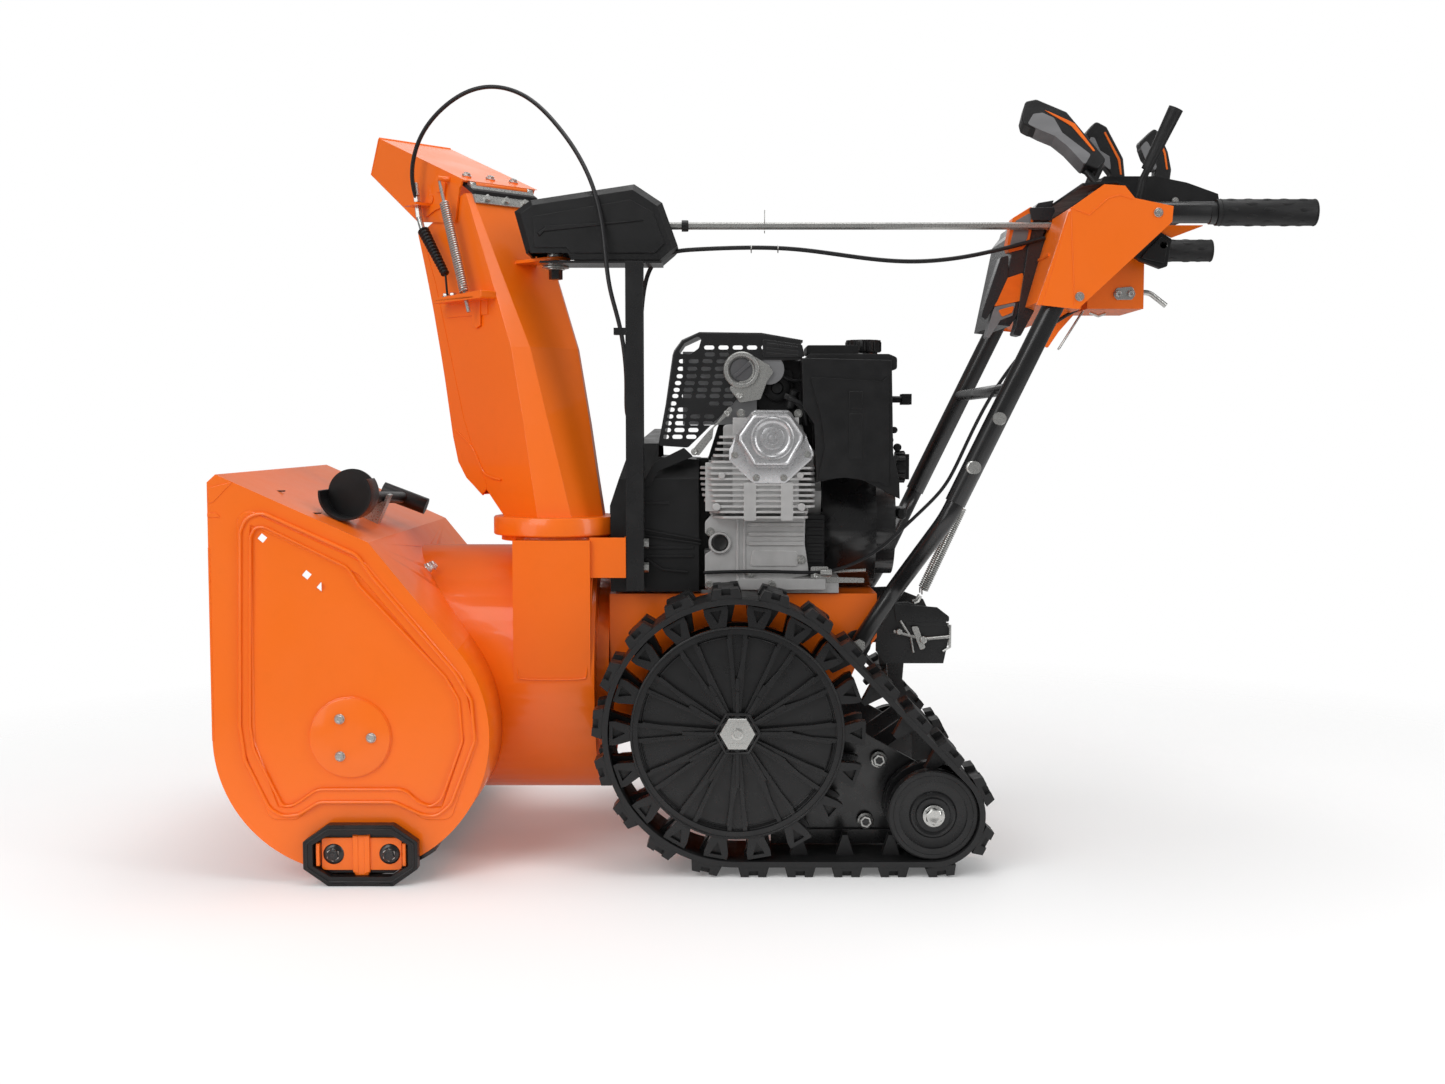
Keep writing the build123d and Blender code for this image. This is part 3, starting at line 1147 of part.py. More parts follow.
# ---------------------------------------------------------------- writing the nodes
NODES = {
    "auger_housing": auger_housing,
    "scraper_blade": scraper_blade,
    "skid_shoe_left": skid,
    "skid_shoe_right": lambda: mirrored(skid()),
    "impeller_housing": impeller_housing,
    "auger_gearcase": auger_gearcase,
    "auger_shaft": auger_shaft,
    "auger_flight_left": lambda: auger_flight(-1),
    "auger_flight_right": lambda: auger_flight(1),
    "impeller": impeller,
    "impeller_drive": impeller_drive,
    "chute": chute,
    "chute_fittings": chute_fittings,
    "chute_deflector": deflector,
    "deflector_spring": deflector_spring,
    "deflector_cable": deflector_cable,
    "chute_post": chute_post,
    "gearbox_cover": gearbox_cover,
    "crank_rod": crank_rod,
    "chute_lever": chute_lever,
    "chassis_frame": chassis_frame,
    "rear_bracket": rear_bracket,
    "axle": axle,
    "drive_wheel_left": drive_wheel,
    "drive_wheel_right": lambda: mirrored(drive_wheel()),
    "idler_wheel_left": idler_wheel,
    "idler_wheel_right": lambda: mirrored(idler_wheel()),
    "track_belt_left": track_belt,
    "track_belt_right": lambda: mirrored(track_belt()),
    "track_frames": track_frames,
    "engine_block": engine_block,
    "cylinder_head": cylinder_head,
    "valve_cover": valve_cover,
    "muffler": muffler,
    "muffler_guard": muffler_guard,
    "fuel_tank": fuel_tank,
    "fuel_cap": fuel_cap,
    "engine_cowl": engine_cowl,
    "recoil_housing": recoil_housing,
    "recoil_handle": recoil_handle,
    "crankshaft": crankshaft,
    "transmission": transmission,
    "drive_belts": drive_belts,
    "belt_cover": belt_cover,
    "handlebar_lower": handlebar_lower,
    "handlebar_upper": handlebar_upper,
    "grips": lambda: both_sides(grip()),
    "console_shell": console_shell,
    "console_panel": console_panel,
    "speed_lever": speed_lever,
    "deflector_lever": deflector_lever,
    "clutch_lever_left": clutch_lever,
    "clutch_lever_right": lambda: mirrored(clutch_lever()),
    "headlight_housing": headlight_housing,
    "mode_trigger": mode_trigger,
    "throttle_knob": throttle_knob,
    "choke_knob": choke_knob,
    "clean_out_tool": clean_out_tool,
    "clutch_cables": clutch_cables,
    "fasteners": fasteners,
}


def main():
    os.makedirs("parts", exist_ok=True)
    for name, make in NODES.items():
        shape = make()
        solids = shape.solids()
        export_step(solids[0] if len(solids) == 1 else Compound(children=list(solids)), f"parts/{name}.step")
        print(f"{name}: {len(solids)} solids, {sum(s.volume for s in solids) / 1000:.1f} cm3")


main()
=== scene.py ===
import json
import math

import bmesh
import bpy
from mathutils import Matrix, Vector


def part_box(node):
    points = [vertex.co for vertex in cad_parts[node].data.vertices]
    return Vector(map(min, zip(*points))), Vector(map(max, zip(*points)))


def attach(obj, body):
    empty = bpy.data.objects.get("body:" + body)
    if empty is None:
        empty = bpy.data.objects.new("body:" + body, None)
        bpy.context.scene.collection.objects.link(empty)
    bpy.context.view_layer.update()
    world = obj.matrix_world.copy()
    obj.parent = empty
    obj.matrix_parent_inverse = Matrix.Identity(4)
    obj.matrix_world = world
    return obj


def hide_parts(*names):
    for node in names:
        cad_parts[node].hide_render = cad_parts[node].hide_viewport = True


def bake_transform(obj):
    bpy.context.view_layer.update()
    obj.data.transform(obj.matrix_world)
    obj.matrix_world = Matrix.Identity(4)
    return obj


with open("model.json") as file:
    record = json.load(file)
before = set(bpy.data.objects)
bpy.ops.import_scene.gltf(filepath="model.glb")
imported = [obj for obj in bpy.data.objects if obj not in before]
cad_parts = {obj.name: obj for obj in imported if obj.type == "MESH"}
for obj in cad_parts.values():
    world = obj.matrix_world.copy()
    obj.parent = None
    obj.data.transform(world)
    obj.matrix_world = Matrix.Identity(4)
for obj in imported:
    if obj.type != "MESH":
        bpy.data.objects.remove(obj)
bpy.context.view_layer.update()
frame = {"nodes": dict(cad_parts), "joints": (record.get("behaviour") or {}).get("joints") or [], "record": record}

# Two stage snowblower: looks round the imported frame. Metres, +Z up, front towards -X, operator's left -Y.
NODES = frame["nodes"]
UP = Vector((0, 0, 1))
LEFT = (0, -1, 0)
SIDES = (("left", -1), ("right", 1))


# ---------------------------------------------------------------- material helpers
def new_material(name, colour, rough, metallic=0.0, coat=0.0, coat_rough=0.06, specular=0.5):
    """A Principled material; returns the material, its tree, the shader and the object coordinates."""
    mat = bpy.data.materials.new(name)
    mat.use_nodes = True
    tree = mat.node_tree
    shader = tree.nodes["Principled BSDF"]
    shader.inputs["Base Color"].default_value = (*colour, 1)
    shader.inputs["Roughness"].default_value = rough
    shader.inputs["Metallic"].default_value = metallic
    shader.inputs["Coat Weight"].default_value = coat
    shader.inputs["Coat Roughness"].default_value = coat_rough
    shader.inputs["Specular IOR Level"].default_value = specular
    coords = tree.nodes.new("ShaderNodeTexCoord").outputs["Object"]
    return mat, tree, shader, coords


def noise(tree, coords, scale, detail=3.0, stretch=None):
    """Noise with features about 1/scale metres across; stretch scales each axis of it."""
    if stretch:
        mapping = tree.nodes.new("ShaderNodeMapping")
        mapping.inputs["Scale"].default_value = stretch
        tree.links.new(coords, mapping.inputs["Vector"])
        coords = mapping.outputs["Vector"]
    n = tree.nodes.new("ShaderNodeTexNoise")
    n.inputs["Scale"].default_value = scale
    n.inputs["Detail"].default_value = detail
    tree.links.new(coords, n.inputs["Vector"])
    return n.outputs["Fac"]


def cells(tree, coords, scale, feature="F1"):
    n = tree.nodes.new("ShaderNodeTexVoronoi")
    n.feature = feature
    n.inputs["Scale"].default_value = scale
    tree.links.new(coords, n.inputs["Vector"])
    return n.outputs["Distance"]


def remap(tree, value, low, high, to_low, to_high):
    n = tree.nodes.new("ShaderNodeMapRange")
    for name, v in (("From Min", low), ("From Max", high), ("To Min", to_low), ("To Max", to_high)):
        n.inputs[name].default_value = v
    tree.links.new(value, n.inputs["Value"])
    return n.outputs["Result"]


def mix_colours(tree, fac, a, b):
    """Colour a where fac is 0 and b where it is 1; a may be a socket."""
    n = tree.nodes.new("ShaderNodeMix")
    n.data_type = "RGBA"
    tree.links.new(fac, n.inputs["Factor"])
    for value, socket in ((a, n.inputs[6]), (b, n.inputs[7])):
        if isinstance(value, bpy.types.NodeSocket):
            tree.links.new(value, socket)
        else:
            socket.default_value = (*value, 1)
    return n.outputs[2]


def add_bump(tree, shader, height, distance, strength=1.0, under=None):
    """Bump of a height in metres; under is a bump that this one is laid over."""
    n = tree.nodes.new("ShaderNodeBump")
    n.inputs["Distance"].default_value = distance
    n.inputs["Strength"].default_value = strength
    tree.links.new(height, n.inputs["Height"])
    if under is not None:
        tree.links.new(under, n.inputs["Normal"])
    tree.links.new(n.outputs["Normal"], shader.inputs["Normal"])
    return n.outputs["Normal"]


def shade(colour, factor):
    return tuple(min(1.0, c * factor) for c in colour)


def edge_mask(tree, radius):
    """1 along edges, 0 on faces, from the difference between the rounded and the true normal."""
    bevel = tree.nodes.new("ShaderNodeBevel")
    bevel.samples = 4
    bevel.inputs["Radius"].default_value = radius
    geometry = tree.nodes.new("ShaderNodeNewGeometry")
    dot = tree.nodes.new("ShaderNodeVectorMath")
    dot.operation = "DOT_PRODUCT"
    tree.links.new(bevel.outputs["Normal"], dot.inputs[0])
    tree.links.new(geometry.outputs["Normal"], dot.inputs[1])
    return remap(tree, dot.outputs["Value"], 0.97, 0.8, 0.0, 1.0)


# ---------------------------------------------------------------- materials
ORANGE = (0.95, 0.165, 0.004)


def paint(name, colour, rough=0.34, coat=0.35, peel=0.00004, mottle=0.06):
    """Powder coat: faint orange peel, slow tone changes, uneven gloss and a little dust."""
    mat, tree, shader, at = new_material(name, colour, rough, coat=coat, coat_rough=0.08, specular=0.35)
    slow = noise(tree, at, 3.0, 2.0)
    tone = mix_colours(tree, slow, shade(colour, 1 - mottle), shade(colour, 1 + mottle))
    dust = remap(tree, noise(tree, at, 38.0, 6.0), 0.56, 0.78, 0.0, 0.10)
    tree.links.new(mix_colours(tree, dust, tone, shade(colour, 0.78)), shader.inputs["Base Color"])
    gloss = remap(tree, noise(tree, at, 14.0, 4.0), 0.3, 0.7, rough - 0.05, rough + 0.07)
    tree.links.new(gloss, shader.inputs["Roughness"])
    add_bump(tree, shader, noise(tree, at, 700.0, 2.0), peel)
    return mat


def paint_with_edge_highlight(name, colour, rough, edge_highlight_colour, edge=0.0012, coat=0.25):
    """Painted steel whose edges are painted lighter in noisy patches: a painted edge highlight."""
    mat, tree, shader, at = new_material(name, colour, rough, coat=coat, coat_rough=0.15)
    tone = mix_colours(tree, noise(tree, at, 9.0, 4.0), shade(colour, 0.8), shade(colour, 1.35))
    # painted edge highlight: edges mixed towards a lighter colour, broken up by noise
    edge_highlight_patches = remap(tree, noise(tree, at, 60.0, 5.0), 0.35, 0.75, 0.0, 0.5)
    edge_highlight_mask = tree.nodes.new("ShaderNodeMath")
    edge_highlight_mask.operation = "MULTIPLY"
    tree.links.new(edge_mask(tree, edge), edge_highlight_mask.inputs[0])
    tree.links.new(edge_highlight_patches, edge_highlight_mask.inputs[1])
    tree.links.new(mix_colours(tree, edge_highlight_mask.outputs[0], tone, edge_highlight_colour), shader.inputs["Base Color"])
    gloss = remap(tree, noise(tree, at, 30.0, 5.0), 0.3, 0.7, rough - 0.07, rough + 0.1)
    tree.links.new(gloss, shader.inputs["Roughness"])
    add_bump(tree, shader, noise(tree, at, 900.0, 2.0), 0.00005)
    return mat


def moulded(name, colour, rough, grain=0.00012, scale=1400.0, coat=0.0):
    """Moulded plastic or rubber: fine grained skin with faint flow marks."""
    mat, tree, shader, at = new_material(name, colour, rough, coat=coat, coat_rough=0.2, specular=0.4)
    flow = noise(tree, at, 22.0, 5.0, stretch=(1.0, 1.0, 2.5))
    tree.links.new(mix_colours(tree, flow, shade(colour, 0.75), shade(colour, 1.35)),
                   shader.inputs["Base Color"])
    gloss = remap(tree, noise(tree, at, 45.0, 5.0), 0.3, 0.7, rough - 0.06, rough + 0.1)
    tree.links.new(gloss, shader.inputs["Roughness"])
    add_bump(tree, shader, cells(tree, at, scale), grain)
    return mat


def metal(name, colour, rough, grain=(1.0, 1.0, 1.0), scale=500.0, depth=0.00003, mottle=0.12, metallic=1.0):
    """Bare or plated metal with drawn, turned or blasted grain."""
    mat, tree, shader, at = new_material(name, colour, rough, metallic=metallic)
    spots = noise(tree, at, 35.0, 6.0)
    tone = mix_colours(tree, spots, shade(colour, 1 - mottle), shade(colour, 1 + mottle))
    tree.links.new(tone, shader.inputs["Base Color"])
    fine = noise(tree, at, scale, 3.0, stretch=grain)
    tree.links.new(remap(tree, fine, 0.3, 0.7, rough - 0.08, rough + 0.1), shader.inputs["Roughness"])
    add_bump(tree, shader, fine, depth)
    return mat


def casting(name, colour, rough=0.5, metallic=0.85):
    """Blasted die casting: pebbled skin, patchy tone and a painted highlight along the edges."""
    mat, tree, shader, at = new_material(name, colour, rough, metallic=metallic)
    tone = mix_colours(tree, noise(tree, at, 55.0, 6.0), shade(colour, 0.78), shade(colour, 1.15))
    # painted edge highlight: edges lightened to 1.45 times the tone
    edge_highlighted_tone = mix_colours(tree, edge_mask(tree, 0.0015), tone, shade(colour, 1.45))
    tree.links.new(edge_highlighted_tone, shader.inputs["Base Color"])
    tree.links.new(remap(tree, noise(tree, at, 80.0, 4.0), 0.3, 0.7, rough - 0.1, rough + 0.12),
                   shader.inputs["Roughness"])
    add_bump(tree, shader, cells(tree, at, 900.0), 0.00018)
    return mat


MATS = {
    "orange_paint": paint("orange_paint", ORANGE),
    # the black paint's last colour is its painted edge highlight
    "black_paint": paint_with_edge_highlight("black_paint", (0.010, 0.010, 0.0105), 0.26, (0.10, 0.10, 0.105)),
    "black_plastic": moulded("black_plastic", (0.008, 0.008, 0.0085), 0.36),
    "wheel_plastic": moulded("wheel_plastic", (0.010, 0.010, 0.0105), 0.28, grain=0.00006),
    "track_rubber": moulded("track_rubber", (0.012, 0.012, 0.0125), 0.42, grain=0.0002, scale=700.0),
    "grip_rubber": moulded("grip_rubber", (0.009, 0.009, 0.0095), 0.45, grain=0.0002, scale=1100.0),
    "skid_black": moulded("skid_black", (0.009, 0.009, 0.0095), 0.36),
    "cast_alloy": casting("cast_alloy", (0.5, 0.495, 0.49), 0.5, 0.4),
    "polished_alloy": metal("polished_alloy", (0.55, 0.55, 0.56), 0.3, scale=260.0, metallic=0.75),
    "zinc_steel": metal("zinc_steel", (0.55, 0.55, 0.53), 0.3, metallic=0.85),
    "raw_steel": metal("raw_steel", (0.45, 0.45, 0.46), 0.4, mottle=0.2),
    "cast_iron": casting("cast_iron", (0.12, 0.12, 0.125), 0.6, 0.6),
    "lever_grip": moulded("lever_grip", (0.010, 0.010, 0.0105), 0.4),
    "grey_plastic": moulded("grey_plastic", (0.17, 0.17, 0.175), 0.45),
    "orange_plastic": moulded("orange_plastic", (0.90, 0.14, 0.004), 0.4, grain=0.00005),
    "belt_rubber": moulded("belt_rubber", (0.02, 0.02, 0.021), 0.7, scale=1800.0),
    "cable_sheath": moulded("cable_sheath", (0.010, 0.010, 0.011), 0.35),
    "lamp_housing": moulded("lamp_housing", (0.022, 0.022, 0.024), 0.25, grain=0.00003, coat=0.3),
}


# ---------------------------------------------------------------- CAD nodes
NO_BEVEL = {"muffler_guard", "deflector_cable"}
BEVELS = {"auger_housing": 0.0012, "track_belt_left": 0.0012, "track_belt_right": 0.0012,
          "engine_cowl": 0.0022, "gearbox_cover": 0.002, "belt_cover": 0.003, "fuel_tank": 0.004,
          "skid_shoe_left": 0.002, "skid_shoe_right": 0.002, "engine_block": 0.0016, "cylinder_head": 0.0014,
          "valve_cover": 0.0022, "drive_wheel_left": 0.0012, "drive_wheel_right": 0.0012}


def dress_cad_nodes():
    """Every CAD node gets its slot's material, and all but those in NO_BEVEL softened edges; its mesh stays as it
    is.
    """
    for row in frame["record"]["subparts"]:
        part = NODES[row["node"]]
        part.data.materials.clear()
        part.data.materials.append(MATS[row["material_slot"]])
        if row["node"] in NO_BEVEL:
            continue
        weld = part.modifiers.new("weld", "WELD")
        weld.merge_threshold = 0.00002
        bevel = part.modifiers.new("bevel", "BEVEL")
        bevel.limit_method = "ANGLE"
        bevel.angle_limit = math.radians(32)
        bevel.width = BEVELS.get(row["node"], 0.0008)
        bevel.segments = 2
        bevel.harden_normals = True
        bevel.use_clamp_overlap = True


dress_cad_nodes()


# ---------------------------------------------------------------- piece helpers
MM = 0.001


def side(u, v, d):
    """Outline in X and Z, depth along Y."""
    return Vector((u, d, v))


def plan(u, v, d):
    """Outline in X and Y, depth along Z."""
    return Vector((u, v, d))


def rounded(points, radius, steps=4):
    """A closed outline with its corners rounded, the radius limited by the corner's own edges."""
    out = []
    count = len(points)
    for i, p in enumerate(points):
        p, a, b = Vector(p), Vector(points[i - 1]), Vector(points[(i + 1) % count])
        u, v = (a - p), (b - p)
        half = max(0.05, u.angle(v) / 2)
        cut = min(radius / math.tan(half), 0.45 * u.length, 0.45 * v.length)
        start, end = p + u.normalized() * cut, p + v.normalized() * cut
        for k in range(steps + 1):
            t = k / steps
            out.append((start * (1 - t) ** 2 + p * 2 * t * (1 - t) + end * t ** 2)[:])
    return out


def rect(u0, u1, v0, v1):
    return [(u0, v0), (u1, v0), (u1, v1), (u0, v1)]


def circle(cu, cv, r, steps=32):
    turns = [2 * math.pi * i / steps for i in range(steps)]
    return [(cu + r * math.cos(t), cv + r * math.sin(t)) for t in turns]


def hexagon(cu, cv, across):
    return circle(cu, cv, across / math.sqrt(3), 6)


def scaled(points, factor):
    """An outline scaled about its middle."""
    cu = sum(p[0] for p in points) / len(points)
    cv = sum(p[1] for p in points) / len(points)
    return [(cu + (u - cu) * factor, cv + (v - cv) * factor) for u, v in points]


class Kit:
    """Gathers shapes in millimetres, in the row frame, into one piece."""

    def __init__(self):
        self.bm = bmesh.new()
        self.material = 0
        self.turn = Matrix.Identity(4)

    def loft(self, rings, closed=True):
        """Skin through rings of equally many points, with end caps."""
        made = [[self.bm.verts.new(self.turn @ Vector(p)) for p in ring] for ring in rings]
        count = len(made[0])
        for low, high in zip(made, made[1:]):
            for i in range(count if closed else count - 1):
                j = (i + 1) % count
                self.face((low[i], low[j], high[j], high[i]))
        if closed:
            self.face(made[0][::-1])
            self.face(made[-1])

    def face(self, verts):
        self.bm.faces.new(verts).material_index = self.material

    def prism(self, outline, d0, d1, place=side, edge=0.0):
        """Outline extruded from d0 to d1; edge draws the d1 end in, as a chamfer that deep."""
        rings = [[place(u, v, d0) for u, v in outline]]
        if edge:
            size = max(max(p[k] for p in outline) - min(p[k] for p in outline) for k in (0, 1))
            step = edge if d1 > d0 else -edge
            rings.append([place(u, v, d1 - step) for u, v in outline])
            outline = scaled(outline, 1 - 2 * edge / size)
        rings.append([place(u, v, d1) for u, v in outline])
        self.loft(rings)

    def block(self, x0, x1, y0, y1, z0, z1):
        self.prism(rect(x0, x1, z0, z1), y0, y1)

    def lathe(self, profile, centre, axis, sides=32):
        """Profile of (radius, distance along the axis) turned about the axis."""
        axis = Vector(axis).normalized()
        u = axis.orthogonal().normalized()
        v = axis.cross(u)
        rings = []
        for r, t in profile:
            rings.append([Vector(centre) + axis * t + (u * math.cos(a) + v * math.sin(a)) * max(r, 0.01)
                          for a in (2 * math.pi * i / sides for i in range(sides))])
        self.loft(rings)

    def bolt(self, centre, axis, across, height, washer=0.0):
        """Hexagon head with a chamfered top and a dished middle, on a flange if washer is its radius."""
        axis = Vector(axis).normalized()
        u = axis.orthogonal().normalized()
        v = axis.cross(u)
        base = 0.0
        if washer:
            self.lathe([(washer, 0), (washer, 1.2), (washer * 0.9, 2.0)], centre, axis, 24)
            base = 1.9
        r = across / math.sqrt(3)
        rings = []
        for share, t in ((1, base), (1, height * 0.82), (0.86, height), (0.62, height),
                         (0.5, height * 0.86)):
            rings.append([Vector(centre) + axis * t + (u * math.cos(a) + v * math.sin(a)) * r * share
                          for a in (2 * math.pi * i / 6 for i in range(6))])
        self.loft(rings)

    def tube(self, points, radius, sides=12):
        """Round bar along points; radius is a number or one for each point."""
        points = [Vector(p) for p in points]
        radii = radius if isinstance(radius, (list, tuple)) else [radius] * len(points)
        rings = []
        normal = None
        for i, p in enumerate(points):
            along = (points[min(i + 1, len(points) - 1)] - points[max(i - 1, 0)]).normalized()
            normal = along.orthogonal() if normal is None else normal - along * normal.dot(along)
            normal.normalize()
            other = along.cross(normal)
            rings.append([p + (normal * math.cos(a) + other * math.sin(a)) * radii[i]
                          for a in (2 * math.pi * k / sides for k in range(sides))])
        self.loft(rings)

    def finish(self, name, materials, body="chassis", bevel=0.0, replaces=(), slot=None, segments=2):
        """Make the piece: metres, outward normals, smooth but for real edges."""
        bmesh.ops.recalc_face_normals(self.bm, faces=self.bm.faces)
        mesh = bpy.data.meshes.new(name)
        self.bm.to_mesh(mesh)
        self.bm.free()
        mesh.transform(Matrix.Scale(MM, 4))
        materials = [materials] if isinstance(materials, str) else materials
        for m in materials:
            mesh.materials.append(MATS[m])
        mesh.polygons.foreach_set("use_smooth", [True] * len(mesh.polygons))
        mesh.set_sharp_from_angle(angle=math.radians(35))
        piece = bpy.data.objects.new(name, mesh)
        bpy.context.collection.objects.link(piece)
        if bevel:
            mod = piece.modifiers.new("bevel", "BEVEL")
            mod.width, mod.segments = bevel * MM, segments
            mod.limit_method, mod.angle_limit = "ANGLE", math.radians(35)
            mod.harden_normals = True
        if body:
            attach(piece, body)
        if replaces:
            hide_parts(*replaces)
        return piece


def box_mm(node):
    """A CAD node's box in millimetres."""
    low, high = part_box(node)
    return low / MM, high / MM


def middle(node):
    """The middle of a CAD node's box in millimetres."""
    low, high = box_mm(node)
    return (low + high) / 2


def along_curve(points, order=3, resolution=12):
    """Points of the smooth NURBS line whose control points are given."""
    data = bpy.data.curves.new("route", "CURVE")
    data.dimensions = "3D"
    spline = data.splines.new("NURBS")
    spline.points.add(len(points) - 1)
    for s, p in zip(spline.points, points):
        s.co = (*p, 1)
    spline.order_u = order
    spline.use_endpoint_u = True
    data.resolution_u = resolution
    holder = bpy.data.objects.new("route", data)
    bpy.context.collection.objects.link(holder)
    mesh = bpy.data.meshes.new_from_object(holder)
    line = [v.co.copy() for v in mesh.vertices]
    bpy.data.objects.remove(holder)
    bpy.data.curves.remove(data)
    bpy.data.meshes.remove(mesh)
    return line


def coil(start, end, radius, turns, wire, lead=0.0):
    """Points of a coil spring between two points, with straight leads of that length."""
    a, b = Vector(start), Vector(end)
    axis = (b - a).normalized()
    u = axis.orthogonal().normalized()
    v = axis.cross(u)
    first, last = a + axis * lead, b - axis * lead
    points = [a] if lead else []
    steps = int(turns * 14)
    for i in range(steps + 1):
        t = 2 * math.pi * turns * i / steps
        points.append(first.lerp(last, i / steps) + (u * math.cos(t) + v * math.sin(t)) * (radius - wire))
    return points + ([b] if lead else [])


# ---------------------------------------------------------------- housing details
BEAD_OUTER = [(-726, 492), (-718, 511), (-697, 519), (-566, 460), (-545, 429), (-433, 297), (-410, 258),
              (-406, 200),
              (-440, 111), (-460, 94), (-480, 96), (-519, 114), (-624, 114), (-653, 96), (-675, 94),
              (-693, 105), (-726, 174), (-732, 222)]
BEAD_INNER = [(-712, 486), (-706, 498), (-693, 499), (-579, 443), (-562, 416), (-446, 291), (-427, 258),
              (-423, 200),
              (-453, 118), (-468, 107), (-486, 114), (-505, 132), (-626, 132), (-660, 109), (-675, 108),
              (-713, 187), (-718, 222)]
DUCT_BEAD = [(-368, -168.8, 470), (-364, -171.5, 345), (-362, -186.6, 300), (-361, -190.8, 272),
             (-357, -191, 267),
             (-264, -191, 267), (-260, -190.8, 272), (-259, -186.6, 300), (-256, -171.5, 345), (-251, -168.8,
                                                                                                470)]


def housing_details():
    """Bearing covers and bolts, stamped beads and folded front hems on the housing, and the duct's bead."""
    duct = Kit()
    duct.tube(along_curve(DUCT_BEAD), 1.3, 8)
    duct.finish("duct_bead", "orange_paint")
    x, _, z = middle("auger_shaft")
    for name, sign in SIDES:
        face = sign * 315.0
        cover = Kit()
        cover.lathe([(55.5, 0), (55.5, 0.8), (54, 1.6), (20, 1.6), (0, 1.6)], (x, face, z), (0, sign, 0), 48)
        ring = [(x + 56 * math.cos(t), face - sign * 3.2, z + 56 * math.sin(t))
                for t in (2 * math.pi * i / 64 for i in range(65))]
        cover.tube(ring, 1.5, 8)
        cover.finish(f"bearing_cover_{name}", "orange_paint")
        beads = Kit()
        for loop, radius in ((BEAD_OUTER, 2.2), (BEAD_INNER, 1.7)):
            line = [Vector((u, sign * 314.9, v)) for u, v in rounded(loop, 26, 5)]
            beads.tube([*line, line[0], line[1]], radius, 8)
        beads.finish(f"housing_beads_{name}", "orange_paint")
        bolts = Kit()
        for dx, dz in ((-14, 26.5), (29.5, 0), (-14, -26)):
            bolts.bolt((x + dx, face + sign * 1.5, z + dz), (0, sign, 0), 11, 5.2, 7.2)
        bolts.finish(f"bearing_bolts_{name}", "zinc_steel")
        hem = Kit()
        edge = x - 193
        hem.tube([(edge + 1.2, sign * 310.5, 200), (edge + 1.2, sign * 310.5, 470)], 1.8, 8)
        hem.prism([(edge, 512), (edge + 18, 512), (edge + 13, 518), (edge, 518)], sign * 310.5, sign * 312.4)
        hem.prism([(edge + 2, 553), (edge + 36, 561), (edge + 9, 533), (edge + 2, 531)],
                  sign * 310.6, sign * 312.2, edge=0.6)
        hem.finish(f"housing_hem_{name}", "orange_paint", bevel=0.5)


def top_slope(x):
    """Height of the housing's top plate at x."""
    return 571 + (x + 760) * (477 - 571) / (760 - 551)


def top_plate_details():
    """Slots in the top of the auger housing and the bolts on its rear slope."""
    slots = Kit()
    for x, y in ((-705, -214), (-640, -268), (-660, -150)):
        z = top_slope(x) + 0.2
        slots.prism(rect(x, x + 14, y, y + 3.2), z - 3, z - 1.2, plan)
    slots.finish("top_slots", "black_plastic")
    bolts = Kit()
    for y in (-122, -160):
        bolts.bolt((-497, y, 428), (0.746, 0, 0.666), 12, 6, 8)
    bolts.finish("slope_bolts", "zinc_steel")


# ---------------------------------------------------------------- skids
def skid_details():
    """Pressed steel saddle inside each skid runner, its flange nuts and side tabs, and grip ribs."""
    x, _, z = middle("skid_shoe_left")
    for name, sign in SIDES:
        saddle = Kit()
        base = sign * 320.0
        for half in (-1, 1):
            saddle.prism([(x + half * 12, z - 26), (x + half * 12, z + 28), (x + half * 4, z + 28),
                          (x + half * 4, z - 30)], base, sign * 327, edge=2.4)
            saddle.block(x + half * 60 - 2.5, x + half * 60 + 2.5, min(base, sign * 329),
                         max(base, sign * 329), z - 16, z + 16)
        saddle.prism(rounded(rect(x - 56, x + 56, z - 23, z + 23), 6), base, sign * 323.4)
        saddle.prism(rounded(rect(x - 10, x + 10, z - 31, z + 28), 4), base, sign * 326, edge=2.0)
        saddle.finish(f"skid_saddle_{name}", "orange_paint", f"skid_{name}", bevel=1.0)
        nuts = Kit()
        for dx in (-39, 39):
            nuts.lathe([(14.5, 0), (14.5, 2), (13.2, 3.4), (9.5, 5.2), (8, 5.4)],
                       (x + dx, sign * 321.6, z), (0, sign, 0), 28)
            nuts.bolt((x + dx, sign * 325, z), (0, sign, 0), 15, 7.5)
            nuts.lathe([(5, 0), (5, 3.5), (4, 4.4)], (x + dx, sign * 328.5, z), (0, sign, 0), 16)
        nuts.finish(f"skid_nuts_{name}", "black_paint")
        ribs = Kit()
        for mid in (x - 33, x + 33):
            for rib in (z - 40.5, z + 40.5):
                ribs.prism(rounded([(mid - 13, rib - 1.2), (mid + 13, rib - 1.2), (mid + 8, rib + 1.2),
                                    (mid - 8, rib + 1.2)], 1, 2), sign * 331.5, sign * 334, edge=0.8)
        outer = rounded([(x - 74, z - 17), (x - 74, z + 17), (x - 44, z + 37), (x + 44, z + 37),
                         (x + 74, z + 17), (x + 74, z - 17), (x + 44, z - 37), (x - 44, z - 37)], 6)
        loop = [Vector((u, sign * 332.6, v)) for u, v in outer]
        ribs.tube([*loop, loop[0]], 1.6, 8)
        ribs.finish(f"skid_ribs_{name}", "skid_black", f"skid_{name}")


